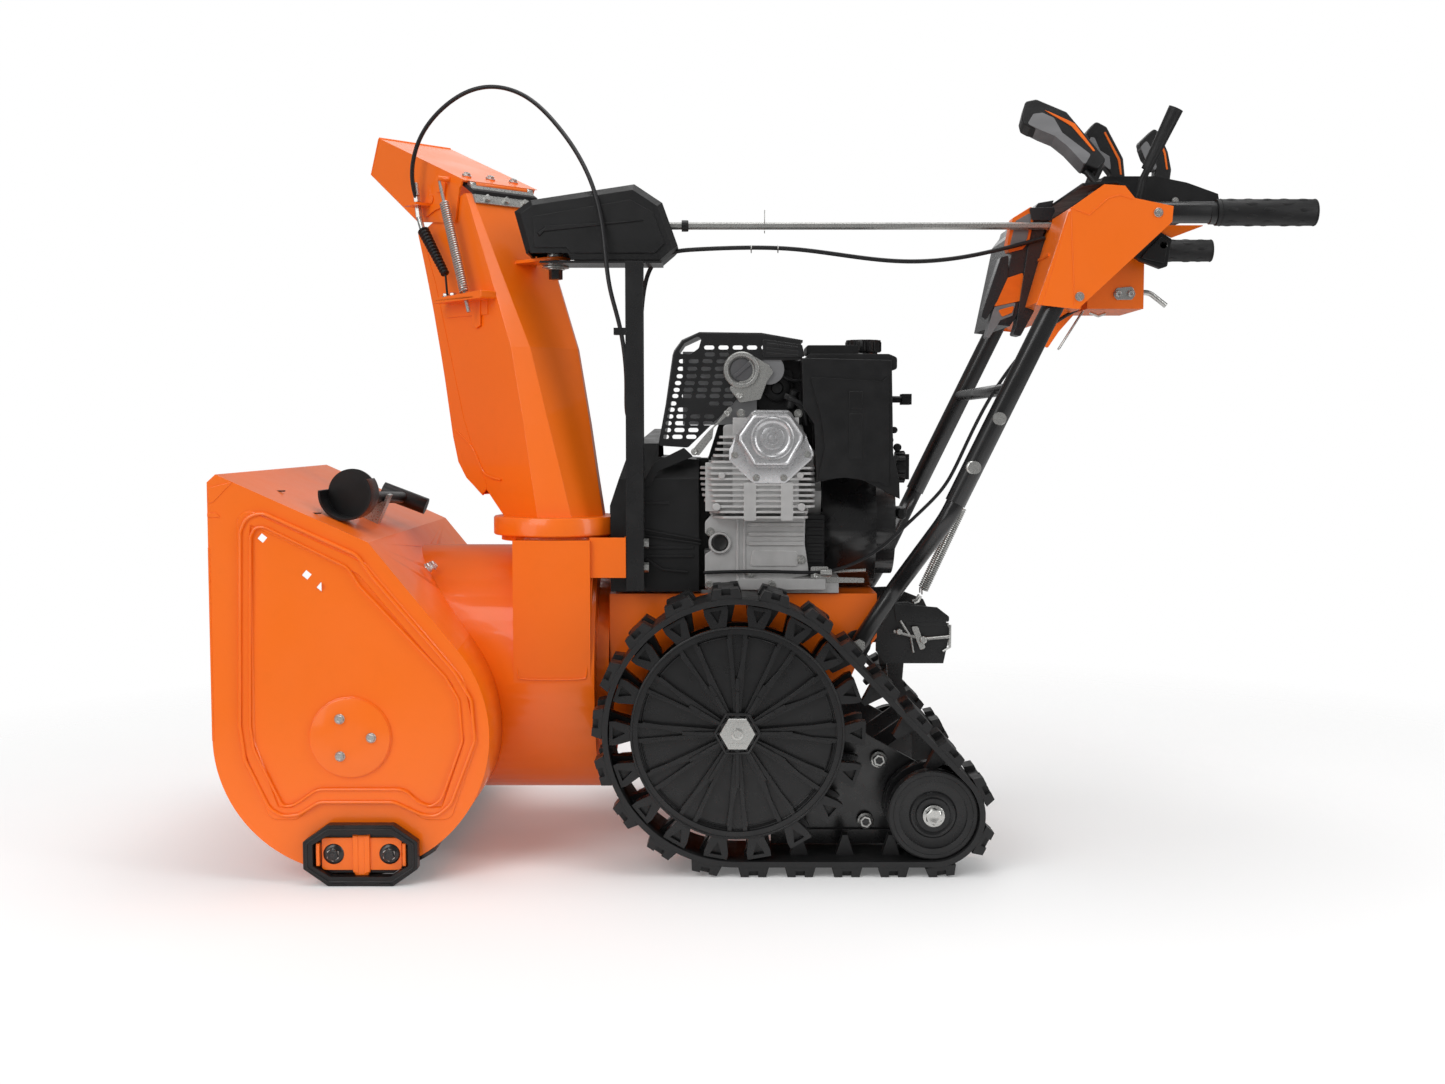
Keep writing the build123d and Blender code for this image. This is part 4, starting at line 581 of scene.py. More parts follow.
# ---------------------------------------------------------------- wheels and tracks
def wheel_details():
    """Hub caps, rings and ribs on the wheel discs, idler dishes and nuts, and the side frames' bolts."""
    x, _, z = middle("axle")
    ix, _, iz = middle("idler_wheel_left")
    for name, sign in SIDES:
        out = (0, sign, 0)
        cap = Kit()
        cap.prism(hexagon(x, z, 44), sign * 287.5, sign * 290.5, edge=1.0)
        cap.lathe([(8.5, 0), (8.5, 1.4), (7, 2.0), (5.4, 2.0), (4.8, 1.0), (0, 1.0)], (x, sign * 290.3, z),
                  out, 28)
        for dz in (-15.5, 14.5):
            cap.block(x - 12, x + 12, min(sign * 290.3, sign * 291.1), max(sign * 290.3, sign * 291.1),
                      z + dz, z + dz + 2.4)
        cap.finish(f"wheel_cap_{name}", "zinc_steel", "drive_axle", bevel=0.3)
        face = Kit()
        collar = [Vector((u, sign * 286.2, v)) for u, v in hexagon(x, z, 55)]
        face.tube([*collar, collar[0], collar[1]], 2.6, 8)
        for r, y, w in ((141.5, 273.5, 2.2), (150, 284.2, 2.0), (136, 272, 1.6)):
            ring = [Vector((u, sign * y, v)) for u, v in circle(x, z, r, 96)]
            face.tube([*ring, ring[0], ring[1]], w, 8)
        for i in range(12):
            a = 2 * math.pi * i / 12
            c, s = math.cos(a), math.sin(a)
            arm = [(26, 5.2), (58, 8.0), (64, 5.6), (134, 15.5), (134, 11.5), (70, 2.2), (134, -11.5),
                   (134, -15.5), (64, -5.6), (58, -8.0), (26, -5.2)]
            outline = [(x + u * c - v * s, z + u * s + v * c) for u, v in arm[::sign]]
            face.prism(outline, sign * 272, sign * 281.5)
            spine = [(x + u * c - v * s, z + u * s + v * c) for u, v in ((24, -2.2), (24, 2.2), (60, 2.4),
                                                                         (60, -2.4))]
            face.prism(spine, sign * 280, sign * 286.5)
        face.finish(f"wheel_face_{name}", "wheel_plastic", "drive_axle", bevel=0.8)
        dish = Kit()
        dish.lathe([(64, -7.5), (64, -2), (62, 0), (57, 0), (54.5, -3), (50, -5.5), (34, -5.5), (31.5, -2.5),
                    (29, -2), (26, -3.6), (18, -3.6), (17, -5)], (ix, sign * 281.0, iz), out, 72)
        dish.finish(f"idler_dish_{name}", "wheel_plastic", f"idler_{name}")
        nut = Kit()
        nut.lathe([(15.5, 0), (15.5, 1.5), (14, 2.4)], (ix, sign * 284.2, iz), out, 28)
        nut.bolt((ix, sign * 286, iz), out, 21, 6)
        nut.finish(f"idler_nut_{name}", "zinc_steel", "track_carriage")
        bolts = Kit()
        bolts.bolt((149, sign * 199.2, 59), out, 17, 7.5, 12)
        bolts.bolt((168, sign * 199.2, 150), out, 17, 7.5, 12)
        bolts.finish(f"frame_bolts_{name}", "zinc_steel", "track_carriage")


# ---------------------------------------------------------------- chute, deflector and cables
def chute_frame():
    """Where the chute's axis is and which way it points at rest, from its joint."""
    joint = next(j for j in frame["joints"] if j["name"] == "chute_rotation")
    tilt = next(j for j in frame["joints"] if j["name"] == "deflector_tilt")
    centre = Vector(joint["pos_m"]) / MM
    left = Vector(tilt["axis"]).normalized()
    return centre, left.cross(UP), left


CHUTE_AXIS, CHUTE_AHEAD, CHUTE_LEFT = chute_frame()


def on_chute(p, q, z):
    """Point p ahead of the chute's axis, q to its left, at height z."""
    return Vector((CHUTE_AXIS.x, CHUTE_AXIS.y, 0)) + CHUTE_AHEAD * p + CHUTE_LEFT * q + UP * z


CHUTE_TURN = Matrix((
    (-CHUTE_AHEAD.x, -CHUTE_LEFT.x, 0, CHUTE_AXIS.x), (-CHUTE_AHEAD.y, -CHUTE_LEFT.y, 0, CHUTE_AXIS.y),
    (0, 0, 1, 0), (0, 0, 0, 1), ))


def chute_kit():
    """A kit whose X runs backwards from the chute's axis and whose -Y is the chute's left."""
    kit = Kit()
    kit.turn = CHUTE_TURN
    return kit


CHUTE_NOSE = [(262, 945), (229.5, 850), (196, 726), (173, 622), (160, 583), (140, 559), (100, 534)]


def chute_details():
    """Fuller front with a closed knee, rolled front flanges, the embossed knee line and the ring's rim."""
    knee = chute_kit()
    front_edge = [(-p, z) for p, z in CHUTE_NOSE]
    inner = [(-85, 545), (-120, 600), (-145, 650), (-175, 740), (-215, 860), (-248, 938)]
    for low_q, high_q in ((-66.6, -63.6), (63.6, 66.6)):
        knee.prism(rounded(front_edge + inner, 8, 3), low_q, high_q)
    web = [(-100, 534), (-140, 559), (-160, 583), (-173, 622), (-176, 636)]
    knee.prism(web + [(u + 2.5, v + 1) for u, v in web[::-1]], -64, 64)
    knee.finish("chute_knee", "orange_paint", "chute")
    edges = Kit()
    for q in (-63.8, 63.8):
        edges.tube(along_curve([on_chute(p, q, z) for p, z in CHUTE_NOSE]), 2.1, 10)
    edges.finish("chute_edges", "orange_paint", "chute")
    lip = Kit()
    for q in (-66.9, 66.9):
        lip.tube(along_curve([on_chute(p, q, z) for p, z in ((166, 632), (142, 620), (118, 601), (102, 575),
                                                             (88, 561), (51, 557))]), 1.7, 8)
    lip.finish("chute_lip", "orange_paint", "chute")
    ring = Kit()
    ring.lathe([(94, 476), (95.5, 477.5), (95.5, 501), (94, 503.2), (88, 503.6), (86, 503.4)],
               (CHUTE_AXIS.x, CHUTE_AXIS.y, 0), UP, 72)
    ring.finish("chute_ring", "orange_paint", "chute")


def deflector_details():
    """Rubber hinge strip, bolts, keyhole slot plate, rolled front lip and the spring's anchor bracket."""
    strip = chute_kit()
    strip.prism([(-120, 996), (-146, 1011), (-150, 1007), (-122, 990)], -62, 62)
    strip = strip.finish("hinge_strip", "belt_rubber", None, bevel=0.6)
    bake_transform(strip)
    pins = Kit()
    for q in (-44, -15, 15, 44):
        pins.bolt(on_chute(126, q, 985), -CHUTE_AHEAD + UP * 0.5, 9, 6, 6.5)
    pins.finish("hinge_pins", "zinc_steel", "chute")
    tops = Kit()
    for q in (-45, 0, 45):
        tops.bolt(on_chute(159.5, q, 1023.2), CHUTE_AHEAD * -0.37 + UP * 0.93, 10, 5, 7.5)
    tops.finish("deflector_bolts", "zinc_steel", "deflector")
    plate = chute_kit()
    outline = rounded([(-176, 1012), (-206, 1020), (-238, 984), (-236, 962), (-206, 972), (-184, 976)], 6)
    plate.prism(outline, -73.5, -70)
    for u, v, w in ((-192, 1006, 5.0), (-214, 990, 4.0)):
        plate.prism(circle(u, v, w + 3, 20), -75.5, -73.0, edge=1.0)
    plate.finish("deflector_plate", "orange_paint", "deflector", bevel=0.6)
    lip = chute_kit()
    lip.tube([(-362.5, -69, 1102), (-362.5, 69, 1102)], 2.4, 10)
    for q in (-69.2, 69.2):
        lip.tube([(-362.5, q, 1102), (-386, q, 1048), (-254, q, 960)], 1.9, 8)
    lip.finish("deflector_lip", "orange_paint", "deflector")
    anchor = chute_kit()
    anchor.prism(rounded([(-60, 840), (-178, 834), (-186, 826), (-60, 828)], 3), -94, -66)
    anchor.prism(rounded([(-96, 836), (-112, 836), (-118, 792), (-106, 786), (-96, 790)], 3), -70, -66.5)
    anchor.finish("anchor_bracket", "orange_paint", "chute", bevel=0.8)
    nuts = Kit()
    for p in (168, 150):
        nuts.bolt(on_chute(p, 80, 835.5), UP, 9, 6, 6)
    nuts.finish("anchor_nuts", "zinc_steel", "chute")


def deflector_spring():
    """Extension spring from the deflector's stud to the anchor on the chute, with a flat eye and a tail."""
    start, end = on_chute(101, 88, 815), on_chute(171, 88, 1012)
    axis = (end - start).normalized()
    body = Kit()
    low, high = start + axis * 26, end - axis * 36
    body.tube(coil(low, high, 7.6, 40, 1.35), 1.35, 7)
    body.tube([high - axis * 3, high + axis * 24, end + axis * 3], [2.6, 2.6, 1.6], 10)
    body.tube([start - axis * 6, start + axis * 24, low + axis * 2], [2.9, 2.9, 2.0], 10)
    spring = body.finish("spring_coil", "zinc_steel", None, replaces=("deflector_spring",))
    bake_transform(spring)


def cable_details():
    """The deflector cable from the post to the deflector, in two pieces that meet over the chute."""
    p, q = 234, 85
    loop = [(-546, 8, 1014), (-543, 2, 1053), (-525, -5, 1093), (-496, -12, 1125), (-456, -20, 1151),
            (-413, -30, 1158), (-369, -50, 1144), (-334, -70, 1117), (-302, -95, 1079),
            (-276, -115, 1042), (-252, -140, 995), (-238, -155, 945), (-232, -165, 900),
            (-229, -172, 864), (-223, -178, 827), (-207, -178, 777), (-199, -176, 705),
            (-205, -150, 650), (-190, -122, 636), (-187, -100, 640), (-187, -70, 668), (-187, -62, 720),
            (-186, -62, 800), (-178, -70, 872), (-150, -92, 899), (-100, -95, 902), (-30, -95, 905),
            (45, -95, 904), (120, -95, 893), (195, -95, 883), (270, -95, 884), (340, -95, 897),
            (421.5, -95, 919)]
    route = [on_chute(p, q, 986), *[Vector(c) for c in loop]]
    line = along_curve(route, order=4)
    split = min(range(len(line)), key=lambda i: (line[i] - Vector(loop[6])).length)
    near = Kit()
    near.tube(line[:split + 1], 3.3, 10)
    tail = on_chute(178, 86, 906)
    piece = near.finish("cable_to_deflector", "cable_sheath", None, replaces=("deflector_cable",))
    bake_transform(piece)
    far = Kit()
    far.tube(line[split:], 3.3, 10)
    piece = far.finish("cable_to_console", "cable_sheath", None)
    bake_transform(piece)
    fitting = Kit()
    fitting.tube([on_chute(240, q, 1016), on_chute(236, q, 996)], 5.0, 16)
    fitting.tube([on_chute(236, q, 994), on_chute(234.5, q, 986)], 5.8, 6)
    fitting.tube([on_chute(233.5, q, 979), on_chute(230, q, 962)], 5.6, 6)
    fitting.tube([on_chute(230, q, 962), on_chute(222, q, 944)], 4.6, 16)
    fitting.finish("cable_fitting", "zinc_steel", "deflector", bevel=0.4)
    bellows = Kit()
    start, end = on_chute(220, q, 942), tail.lerp(on_chute(155, 86, 858), 0.75)
    count = 15
    points, radii = [], []
    for i in range(count * 4):
        share = i / (count * 4 - 1)
        points.append(start.lerp(end, share))
        radii.append((7.6 - 2.6 * share) + (1.7 if i % 4 in (1, 2) else -0.6))
    bellows.tube(points, radii, 16)
    bellows.tube([end, on_chute(158, 85, 838)], 1.7, 8)
    piece = bellows.finish("cable_bellows", "black_plastic", None)
    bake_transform(piece)


def crank_details():
    """Clip rings that hang the cable from the rod, the rod's collar, the cover's crease, the pivot nut."""
    clips = Kit()
    for x in (-18, 22):
        clips.tube([(x, -91, 904), (x, -86, 901), (x, -95, 897), (x, -103, 902), (x, -95, 908),
                    (x, -88, 905)], 0.8, 6)
    loop = [(2, -95, 926), (2, -89, 931), (2, -88.6, 937), (2, -91, 943), (2, -95, 945), (2, -96, 960)]
    clips.tube(loop, 0.7, 6)
    clips.finish("cable_clips", "zinc_steel")
    collar = Kit()
    collar.lathe([(8.5, 0), (8.5, 9), (7.5, 10)], (-122, -95, 936.5), (1, 0, 0), 20)
    collar.finish("rod_collar", "black_plastic", "chute_crank")
    rib = Kit()
    y = box_mm("gearbox_cover")[0].y - 0.6
    rib.loft([[Vector((x, y + k, z)) for x, z, k in ((-334, 921, 1.2), (-322, 929, 1.2), (-318, 926, 1.2),
                                                    (-330, 914, 1.2))],
              [Vector((x, y + k, z)) for x, z, k in ((-331, 920, -1.6), (-321, 927, -1.6), (-319, 926, -1.6),
                                                    (-328, 916, -1.6))]])
    rib.prism([(-322, 930), (-176, 938), (-322, 922)], y + 1.2, y - 1.6, edge=1.2)
    rib.finish("cover_crease", "black_plastic", bevel=0.6)
    washer = Kit()
    washer.lathe([(20, 0), (20, 2), (17, 2.6)], (CHUTE_AXIS.x, CHUTE_AXIS.y, 873.5), UP, 40)
    washer.bolt((CHUTE_AXIS.x, CHUTE_AXIS.y, 873), (0, 0, -1), 16, 14, 14)
    washer.finish("pivot_nut", "zinc_steel")


# ---------------------------------------------------------------- controls
LEVER_LEAN = math.radians(-20)
CHUTE_GRIP = [(393, 176), (400, 202), (417, 206), (462, 184), (517, 103), (502, 86), (485, 95), (460, 126),
              (442, 143), (420, 154), (405, 158), (395, 164)]
CHUTE_BELLY = [(401, 163), (411, 180), (425, 182), (442, 173), (453, 148), (494, 111), (484, 93), (459, 125),
               (441, 142), (420, 152)]
CHUTE_STRIPE = [(419, 192), (463, 169), (473, 163), (501, 117), (498, 116), (468, 158), (460, 164)]


def lever(name, node, body, outline, belly, stripe, y, half, hub, stem, turn=None):
    """A control lever in place of its CAD node: hub, stem, black handle, grey belly and orange stripe."""
    kit, inlay = Kit(), Kit()
    if turn is not None:
        kit.turn = inlay.turn = turn
    kit.tube(*stem)
    kit.lathe(*hub)
    kit.prism(rounded(outline, 7, 4), y - half, y + half)
    kit.finish(name, "lever_grip", body, bevel=2.6, replaces=(node,), segments=3)
    inlay.prism(rounded(belly, 4, 3), y - half - 0.8, y + half + 0.8)
    inlay.material = 1
    inlay.prism(rounded(stripe, 1.2, 2), y - half - 1.0, y + half + 1.0)
    inlay.finish(f"{name}_inlay", ["grey_plastic", "orange_plastic"], body, bevel=0.7, slot="lever_grip")


def lever_details():
    turn = Matrix.Translation((0, -95, 936.5)) @ Matrix.Rotation(LEVER_LEAN, 4, "X")
    lever("chute_handle", "chute_lever", "chute_crank", CHUTE_GRIP, CHUTE_BELLY, CHUTE_STRIPE, 0, 15,
          (rect(4, 14, 0, 24), (494, 0, 0), (1, 0, 0), 28),
          ([(507, 0, 10), (511, 0, 40), (506, 0, 66), (488, 0, 92)], 5.0), turn)
    lever("speed_handle", "speed_lever", "speed_control",
          [(513, 1101), (528, 1118), (545, 1109), (572, 1060), (576, 1024), (552, 1023), (552, 1036),
           (541, 1050), (519, 1088)],
          [(519, 1093), (526, 1092), (535, 1072), (550, 1063), (553, 1040), (541, 1049), (518, 1085)],
          [(540, 1100), (543, 1101), (567, 1058), (570, 1034), (567, 1034), (563, 1057)], 59, 13,
          (rect(4.4, 9, 0, 12), (540, 53, 915), (0, 1, 0), 28),
          ([(540, 59, 921), (552, 59, 975), (563, 59, 1030)], 4.0))
    lever("deflector_handle", "deflector_lever", "deflector_control",
          [(612, 1095), (636, 1118), (645, 1111), (659, 1080), (665, 1052), (661, 1019), (636, 1021),
           (639, 1052), (620, 1070)],
          [(614, 1088), (624, 1099), (632, 1084), (641, 1056), (638, 1050), (621, 1070)],
          [(642, 1104), (645, 1104), (655, 1078), (659, 1052), (656, 1052), (652, 1076)], 119, 13,
          (rect(4.4, 9, 0, 12), (625, 113, 925), (0, 1, 0), 28),
          ([(625, 119, 931), (634, 119, 975), (648, 119, 1030)], 4.0))
    boots = Kit()
    for x, y, w in ((507, -95, 13), (548, 59, 11), (629, 119, 11)):
        z = 995 if x < 600 else 984
        boots.lathe([(w, 0), (w, 1.5), (w - 3, 3), (w - 3, 5), (w - 5, 6), (w - 5, 9), (6, 11)], (x, y, z),
                    UP, 24)
    boots.finish("lever_boots", "black_plastic")
    screws = Kit()
    for sign in (-1, 1):
        for x, z in ((470, 985), (590, 975)):
            screws.bolt((x, sign * 186, z - 14), (0, sign, 0), 7, 3.4, 5)
    screws.finish("dash_screws", "zinc_steel")


# ---------------------------------------------------------------- console
def shroud_details():
    """Left cheek of the lamp shroud, its orange and grey panels, and the lamp optics."""
    y0, y1 = -60, -86
    black = Kit()
    for outline, out in (
            ([(420, 918), (427, 915), (410, 815), (388, 773), (376, 775), (381, 790), (398, 912)], 5.5),
            ([(398, 964), (435, 965), (437, 959), (430, 945), (403, 945)], 6.5),
            ([(369, 894), (357, 891), (331, 812), (329, 802), (336, 797), (353, 826), (368, 860)], 2.5)):
        black.prism(rounded(outline, 3, 3), y0, y1 - out)
    black.finish("shroud_black", "lamp_housing", bevel=1.2)
    orange = Kit()
    for outline, out in (
            ([(374, 949), (403, 967), (406, 949), (400, 915), (390, 903), (369, 898), (366, 908)], 2.4),
            ([(357, 861), (370, 861), (391, 868), (393, 827), (347, 817)], 2.2),
            ([(354, 812), (379, 819), (375, 808), (360, 802)], 3.0)):
        orange.prism(rounded(outline, 2.5, 3), y0, y1 - out)
    orange.finish("shroud_orange", ["orange_plastic"], bevel=1.0, slot="lamp_housing")
    grey = Kit()
    for outline, out in (
            ([(379, 945), (400, 957), (402, 949), (396, 918), (388, 908), (373, 905), (371, 911)], 3.2),
            ([(349, 817), (381, 824), (376, 804), (358, 797), (341, 770), (336, 771), (346, 810)], 1.6)):
        grey.prism(rounded(outline, 2.5, 3), y0, y1 - out)
    grey.finish("shroud_grey", ["grey_plastic"], bevel=0.8, slot="lamp_housing")
    lens = Kit()
    for y in (-60, -30, 0, 30, 60, 90):
        lens.lathe([(11, 0), (11, 1.2), (9, 2.0), (8, 1.2), (0, 2.4)], (385, y + 7, 926), (-0.955, 0, 0.296),
                   28)
    lens.finish("lamp_optics", ["zinc_steel"], slot="lamp_housing")


def console_details():
    """Creases, bolts, switch mount and plate, tabs and bare wires of the console."""
    for name, sign in SIDES:
        face = sign * 262.0
        crease = Kit()
        crease.prism([(378, 806), (400, 870), (421, 936), (428, 938), (403, 806)], sign * 254, sign * 261.4,
                     edge=1.2)
        crease.tube([(424, face, 941), (450, face, 931), (476, face, 954), (492, face, 958),
                     (511, face, 953)], 1.1, 8)
        crease.tube([(431, face, 805), (424, face, 941)], 0.9, 8)
        crease.finish(f"console_crease_{name}", "orange_paint", bevel=0.5)
        bolts = Kit()
        for x, z in ((438, 818), (546, 934)):
            bolts.bolt((x, face, z), (0, sign, 0), 8, 3.5, 6.5)
        bolts.finish(f"console_bolts_{name}", "zinc_steel")
    mount = Kit()
    mount.prism(rounded([(528, 881), (566, 915), (583, 905), (577, 866), (567, 863), (538, 874)], 4), -200,
                -188)
    mount.prism(rounded([(536, 878), (566, 908), (577, 901), (572, 870)], 4), -203, -199)
    mount.finish("switch_mount", "black_plastic", bevel=1.2)
    plate = Kit()
    plate.prism(rounded([(507, 829), (512, 838), (535, 840), (540, 829), (535, 821), (512, 821)], 5), -168,
                -170.2)
    for x, z in ((514, 830), (532, 830)):
        plate.bolt((x, -170, z), LEFT, 8, 3.5, 5)
    plate.lathe([(6.5, 0), (6.5, 3), (5, 4)], (570, -199, 896), LEFT, 20)
    plate.finish("switch_plate", "zinc_steel", bevel=0.4)
    tabs = Kit()
    tabs.prism(rounded([(434, 807), (449, 807), (459, 803), (436, 777), (420, 753), (407, 758)], 3), -136,
               -133.5)
    tabs.prism(rounded([(565, 916), (578, 925), (631, 925), (583, 907)], 1), -196, -193.5)
    tabs.finish("console_tabs", "orange_paint", bevel=0.5)
    wires = Kit()
    for y, dx in ((-134, 0), (-108, 4)):
        wires.tube([(489 + dx, y, 835), (462 + dx, y, 792), (437 + dx, y, 752)], 1.5, 8)
    wires.tube([(478, -150, 804), (490, -152, 799), (501, -150, 803)], 2.4, 8)
    wires.finish("console_wires", "zinc_steel")


def grip_details():
    """End rings, teardrop reliefs along both sides, and the end cap's step."""
    for name, sign in SIDES:
        y, z, r = sign * 240.0, 937.0, 18.4
        relief = Kit()
        for x in (638, 770.4):
            relief.lathe([(r, 0), (r + 0.7, 0.6), (r + 0.7, 1.2), (r - 0.5, 1.6)], (x - 1, y, z), (1, 0, 0),
                         48)
        for k, x in enumerate((651, 678, 702, 728, 752)):
            for turn in range(6):
                a = math.radians(turn * 60 + (24 if k % 2 else -6))
                out = Vector((0, math.cos(a), math.sin(a)))
                across = Vector((0, -math.sin(a), math.cos(a)))
                mid = Vector((x, y, z)) + out * (r - 0.9)
                rings = []
                for share, lift in ((1.0, 0.0), (0.92, 1.3), (0.6, 1.9)):
                    rings.append([mid + out * lift + Vector((1, 0, 0)) * u * share + across * v * share
                                  for u, v in ((-8, 0), (-5, 2.6), (0, 3.4), (5, 2.4), (9.5, 0), (5, -2.4),
                                               (0, -3.4), (-5, -2.6))])
                relief.loft(rings)
        relief.finish(f"grip_relief_{name}", "grip_rubber")
        seam = Kit()
        seam.lathe([(14.0, 0), (15.6, 1.0), (15.6, 9), (14.4, 10)], (622, y, z - 1), (1, 0, 0), 40)
        seam.finish(f"grip_collar_{name}", "black_paint")


def tube_details():
    """Rounded bolt heads where the two halves of each handlebar tube join."""
    for name, sign in SIDES:
        heads = Kit()
        for x, z in ((292, 579), (330, 648)):
            heads.lathe([(9.5, 0), (9.5, 1.5), (8.6, 3.0), (6, 4.2), (0, 4.6)], (x, sign * 252.5, z),
                        (0, sign, 0), 24)
        heads.finish(f"tube_bolts_{name}", "zinc_steel")


# ---------------------------------------------------------------- engine
def pierced_plate(outline, holes, thick):
    """A flat sheet with holes, filled by Blender's own curve filling; it lies in X and Z about Y = 0."""
    data = bpy.data.curves.new("sheet", "CURVE")
    data.dimensions, data.fill_mode, data.extrude = "2D", "BOTH", thick / 2
    for loop in (outline, *holes):
        spline = data.splines.new("POLY")
        spline.points.add(len(loop) - 1)
        for s, p in zip(spline.points, loop):
            s.co = (p[0], p[1], 0, 1)
        spline.use_cyclic_u = True
    holder = bpy.data.objects.new("sheet", data)
    bpy.context.collection.objects.link(holder)
    mesh = bpy.data.meshes.new_from_object(holder)
    bpy.data.objects.remove(holder)
    bpy.data.curves.remove(data)
    return mesh


def pill(u, v, length, height):
    """A slot outline from its left end."""
    r = height / 2
    ends = [(u + length - r + r * math.cos(t), v + r * math.sin(t)) for t in
            (math.radians(a) for a in range(-90, 91, 30))]
    return ends + [(2 * u + length - x, 2 * v - y) for x, y in ends]


GUARD = [(-132, 739), (-132, 745), (-120, 763), (-95, 775), (-4, 774), (54, 763), (57, 735), (-10, 735),
         (-2, 720), (-8, 700), (-24, 684), (-38, 680), (-44, 672), (-112, 606), (-156, 609)]
PILLS = ((-88, 753, 5, 21), (-87, 743, 2, 21), (-111, 733, 3, 20.5), (-113, 722, 3, 20.5), (-114, 711, 3,
                                                                                            20.5),
         (-117, 701, 3, 20.5), (-119, 691, 4, 20.5), (-121, 682, 4, 20.5), (-81, 671, 2, 20.5),
         (-127, 662, 1, 20.5),
         (-129, 652, 3, 20.5), (-131, 642, 3, 20.5), (-132, 632, 2, 20.5), (-135, 622, 2, 20.5))
EDGE_PILLS = ((-125, 733), (-127, 722), (-128.5, 711), (-131, 701), (-133, 691), (-135, 682), (-138, 671),
              (-140.5, 662), (-142.5, 652), (-145, 642), (-146, 632), (-149, 622))


def guard_details():
    """Muffler guard of pierced sheet with a rolled top and front, in place of its CAD node."""
    holes = [pill(u + k * pitch, v, 15, 6) for u, v, count, pitch in PILLS for k in range(count)]
    holes += [pill(u, v, 9, 6) for u, v in EDGE_PILLS]
    holes.append(rounded([(-127, 744), (-117, 759), (-98, 769), (-92, 766), (-96, 752), (-108, 743)], 4, 3))
    holes.append(circle(-33, 720, 19, 36))
    sheet = Kit()
    mesh = pierced_plate(rounded(GUARD, 5, 3), holes, 1.6)
    mesh.transform(Matrix(((1, 0, 0, 0), (0, 0, 1, -149), (0, 1, 0, 0), (0, 0, 0, 1))))
    sheet.bm.from_mesh(mesh)
    bpy.data.meshes.remove(mesh)
    rim = [(-152, 609), (-133, 742), (-131, 748), (-120, 763), (-95, 774.2), (-4, 773.2), (57, 762.5)]
    inner = [(-150, 609), (-131, 741.5), (-129, 747), (-119, 761.4), (-95, 772.4), (-4, 771.4), (57, 760.7)]
    for (a, b), (c, d) in zip(zip(rim, rim[1:]), zip(inner, inner[1:])):
        sheet.prism([a, b, d, c], -149.6, -8)
    sheet.tube([(x, -148.6, z) for x, z in rim], 1.5, 8)
    sheet.finish("guard_sheet", "black_paint", replaces=("muffler_guard",))
    cap = Kit()
    cap.lathe([(27, -6), (27, 1.5), (25.5, 3.4), (21, 3.4), (18.5, 0.5), (17, -4), (17, -6)],
              (-33, -153, 720), LEFT, 48)
    arm = rounded([(-18, 742), (6, 728), (14, 716), (5, 704), (-5, 677), (-35, 672), (-52, 694), (-34, 704)],
                  4)
    cap.prism(arm, -150, -152)
    strap = rounded([(-46, 660), (-74, 635), (-76, 620), (-96, 594), (-108, 600), (-84, 628), (-70, 642),
                     (-50, 668)], 3)
    cap.prism(strap, -151.5, -154)
    for x, z in ((-36, 682), (-102, 600), (-54, 656)):
        cap.bolt((x, -152, z), LEFT, 8, 4, 5.5)
    cap.finish("guard_ring", "zinc_steel", bevel=0.6)
    plug = Kit()
    plug.lathe([(17.5, 0), (17.5, 5), (15, 7), (3, 7.4), (0, 7.4)], (-33, -146, 720), LEFT, 36)
    plug.prism([(-46, 712), (-22, 732), (-19, 728), (-43, 708)], -152, -155.5, edge=0.8)
    plug.finish("exhaust_plug", "cast_iron", bevel=0.5)


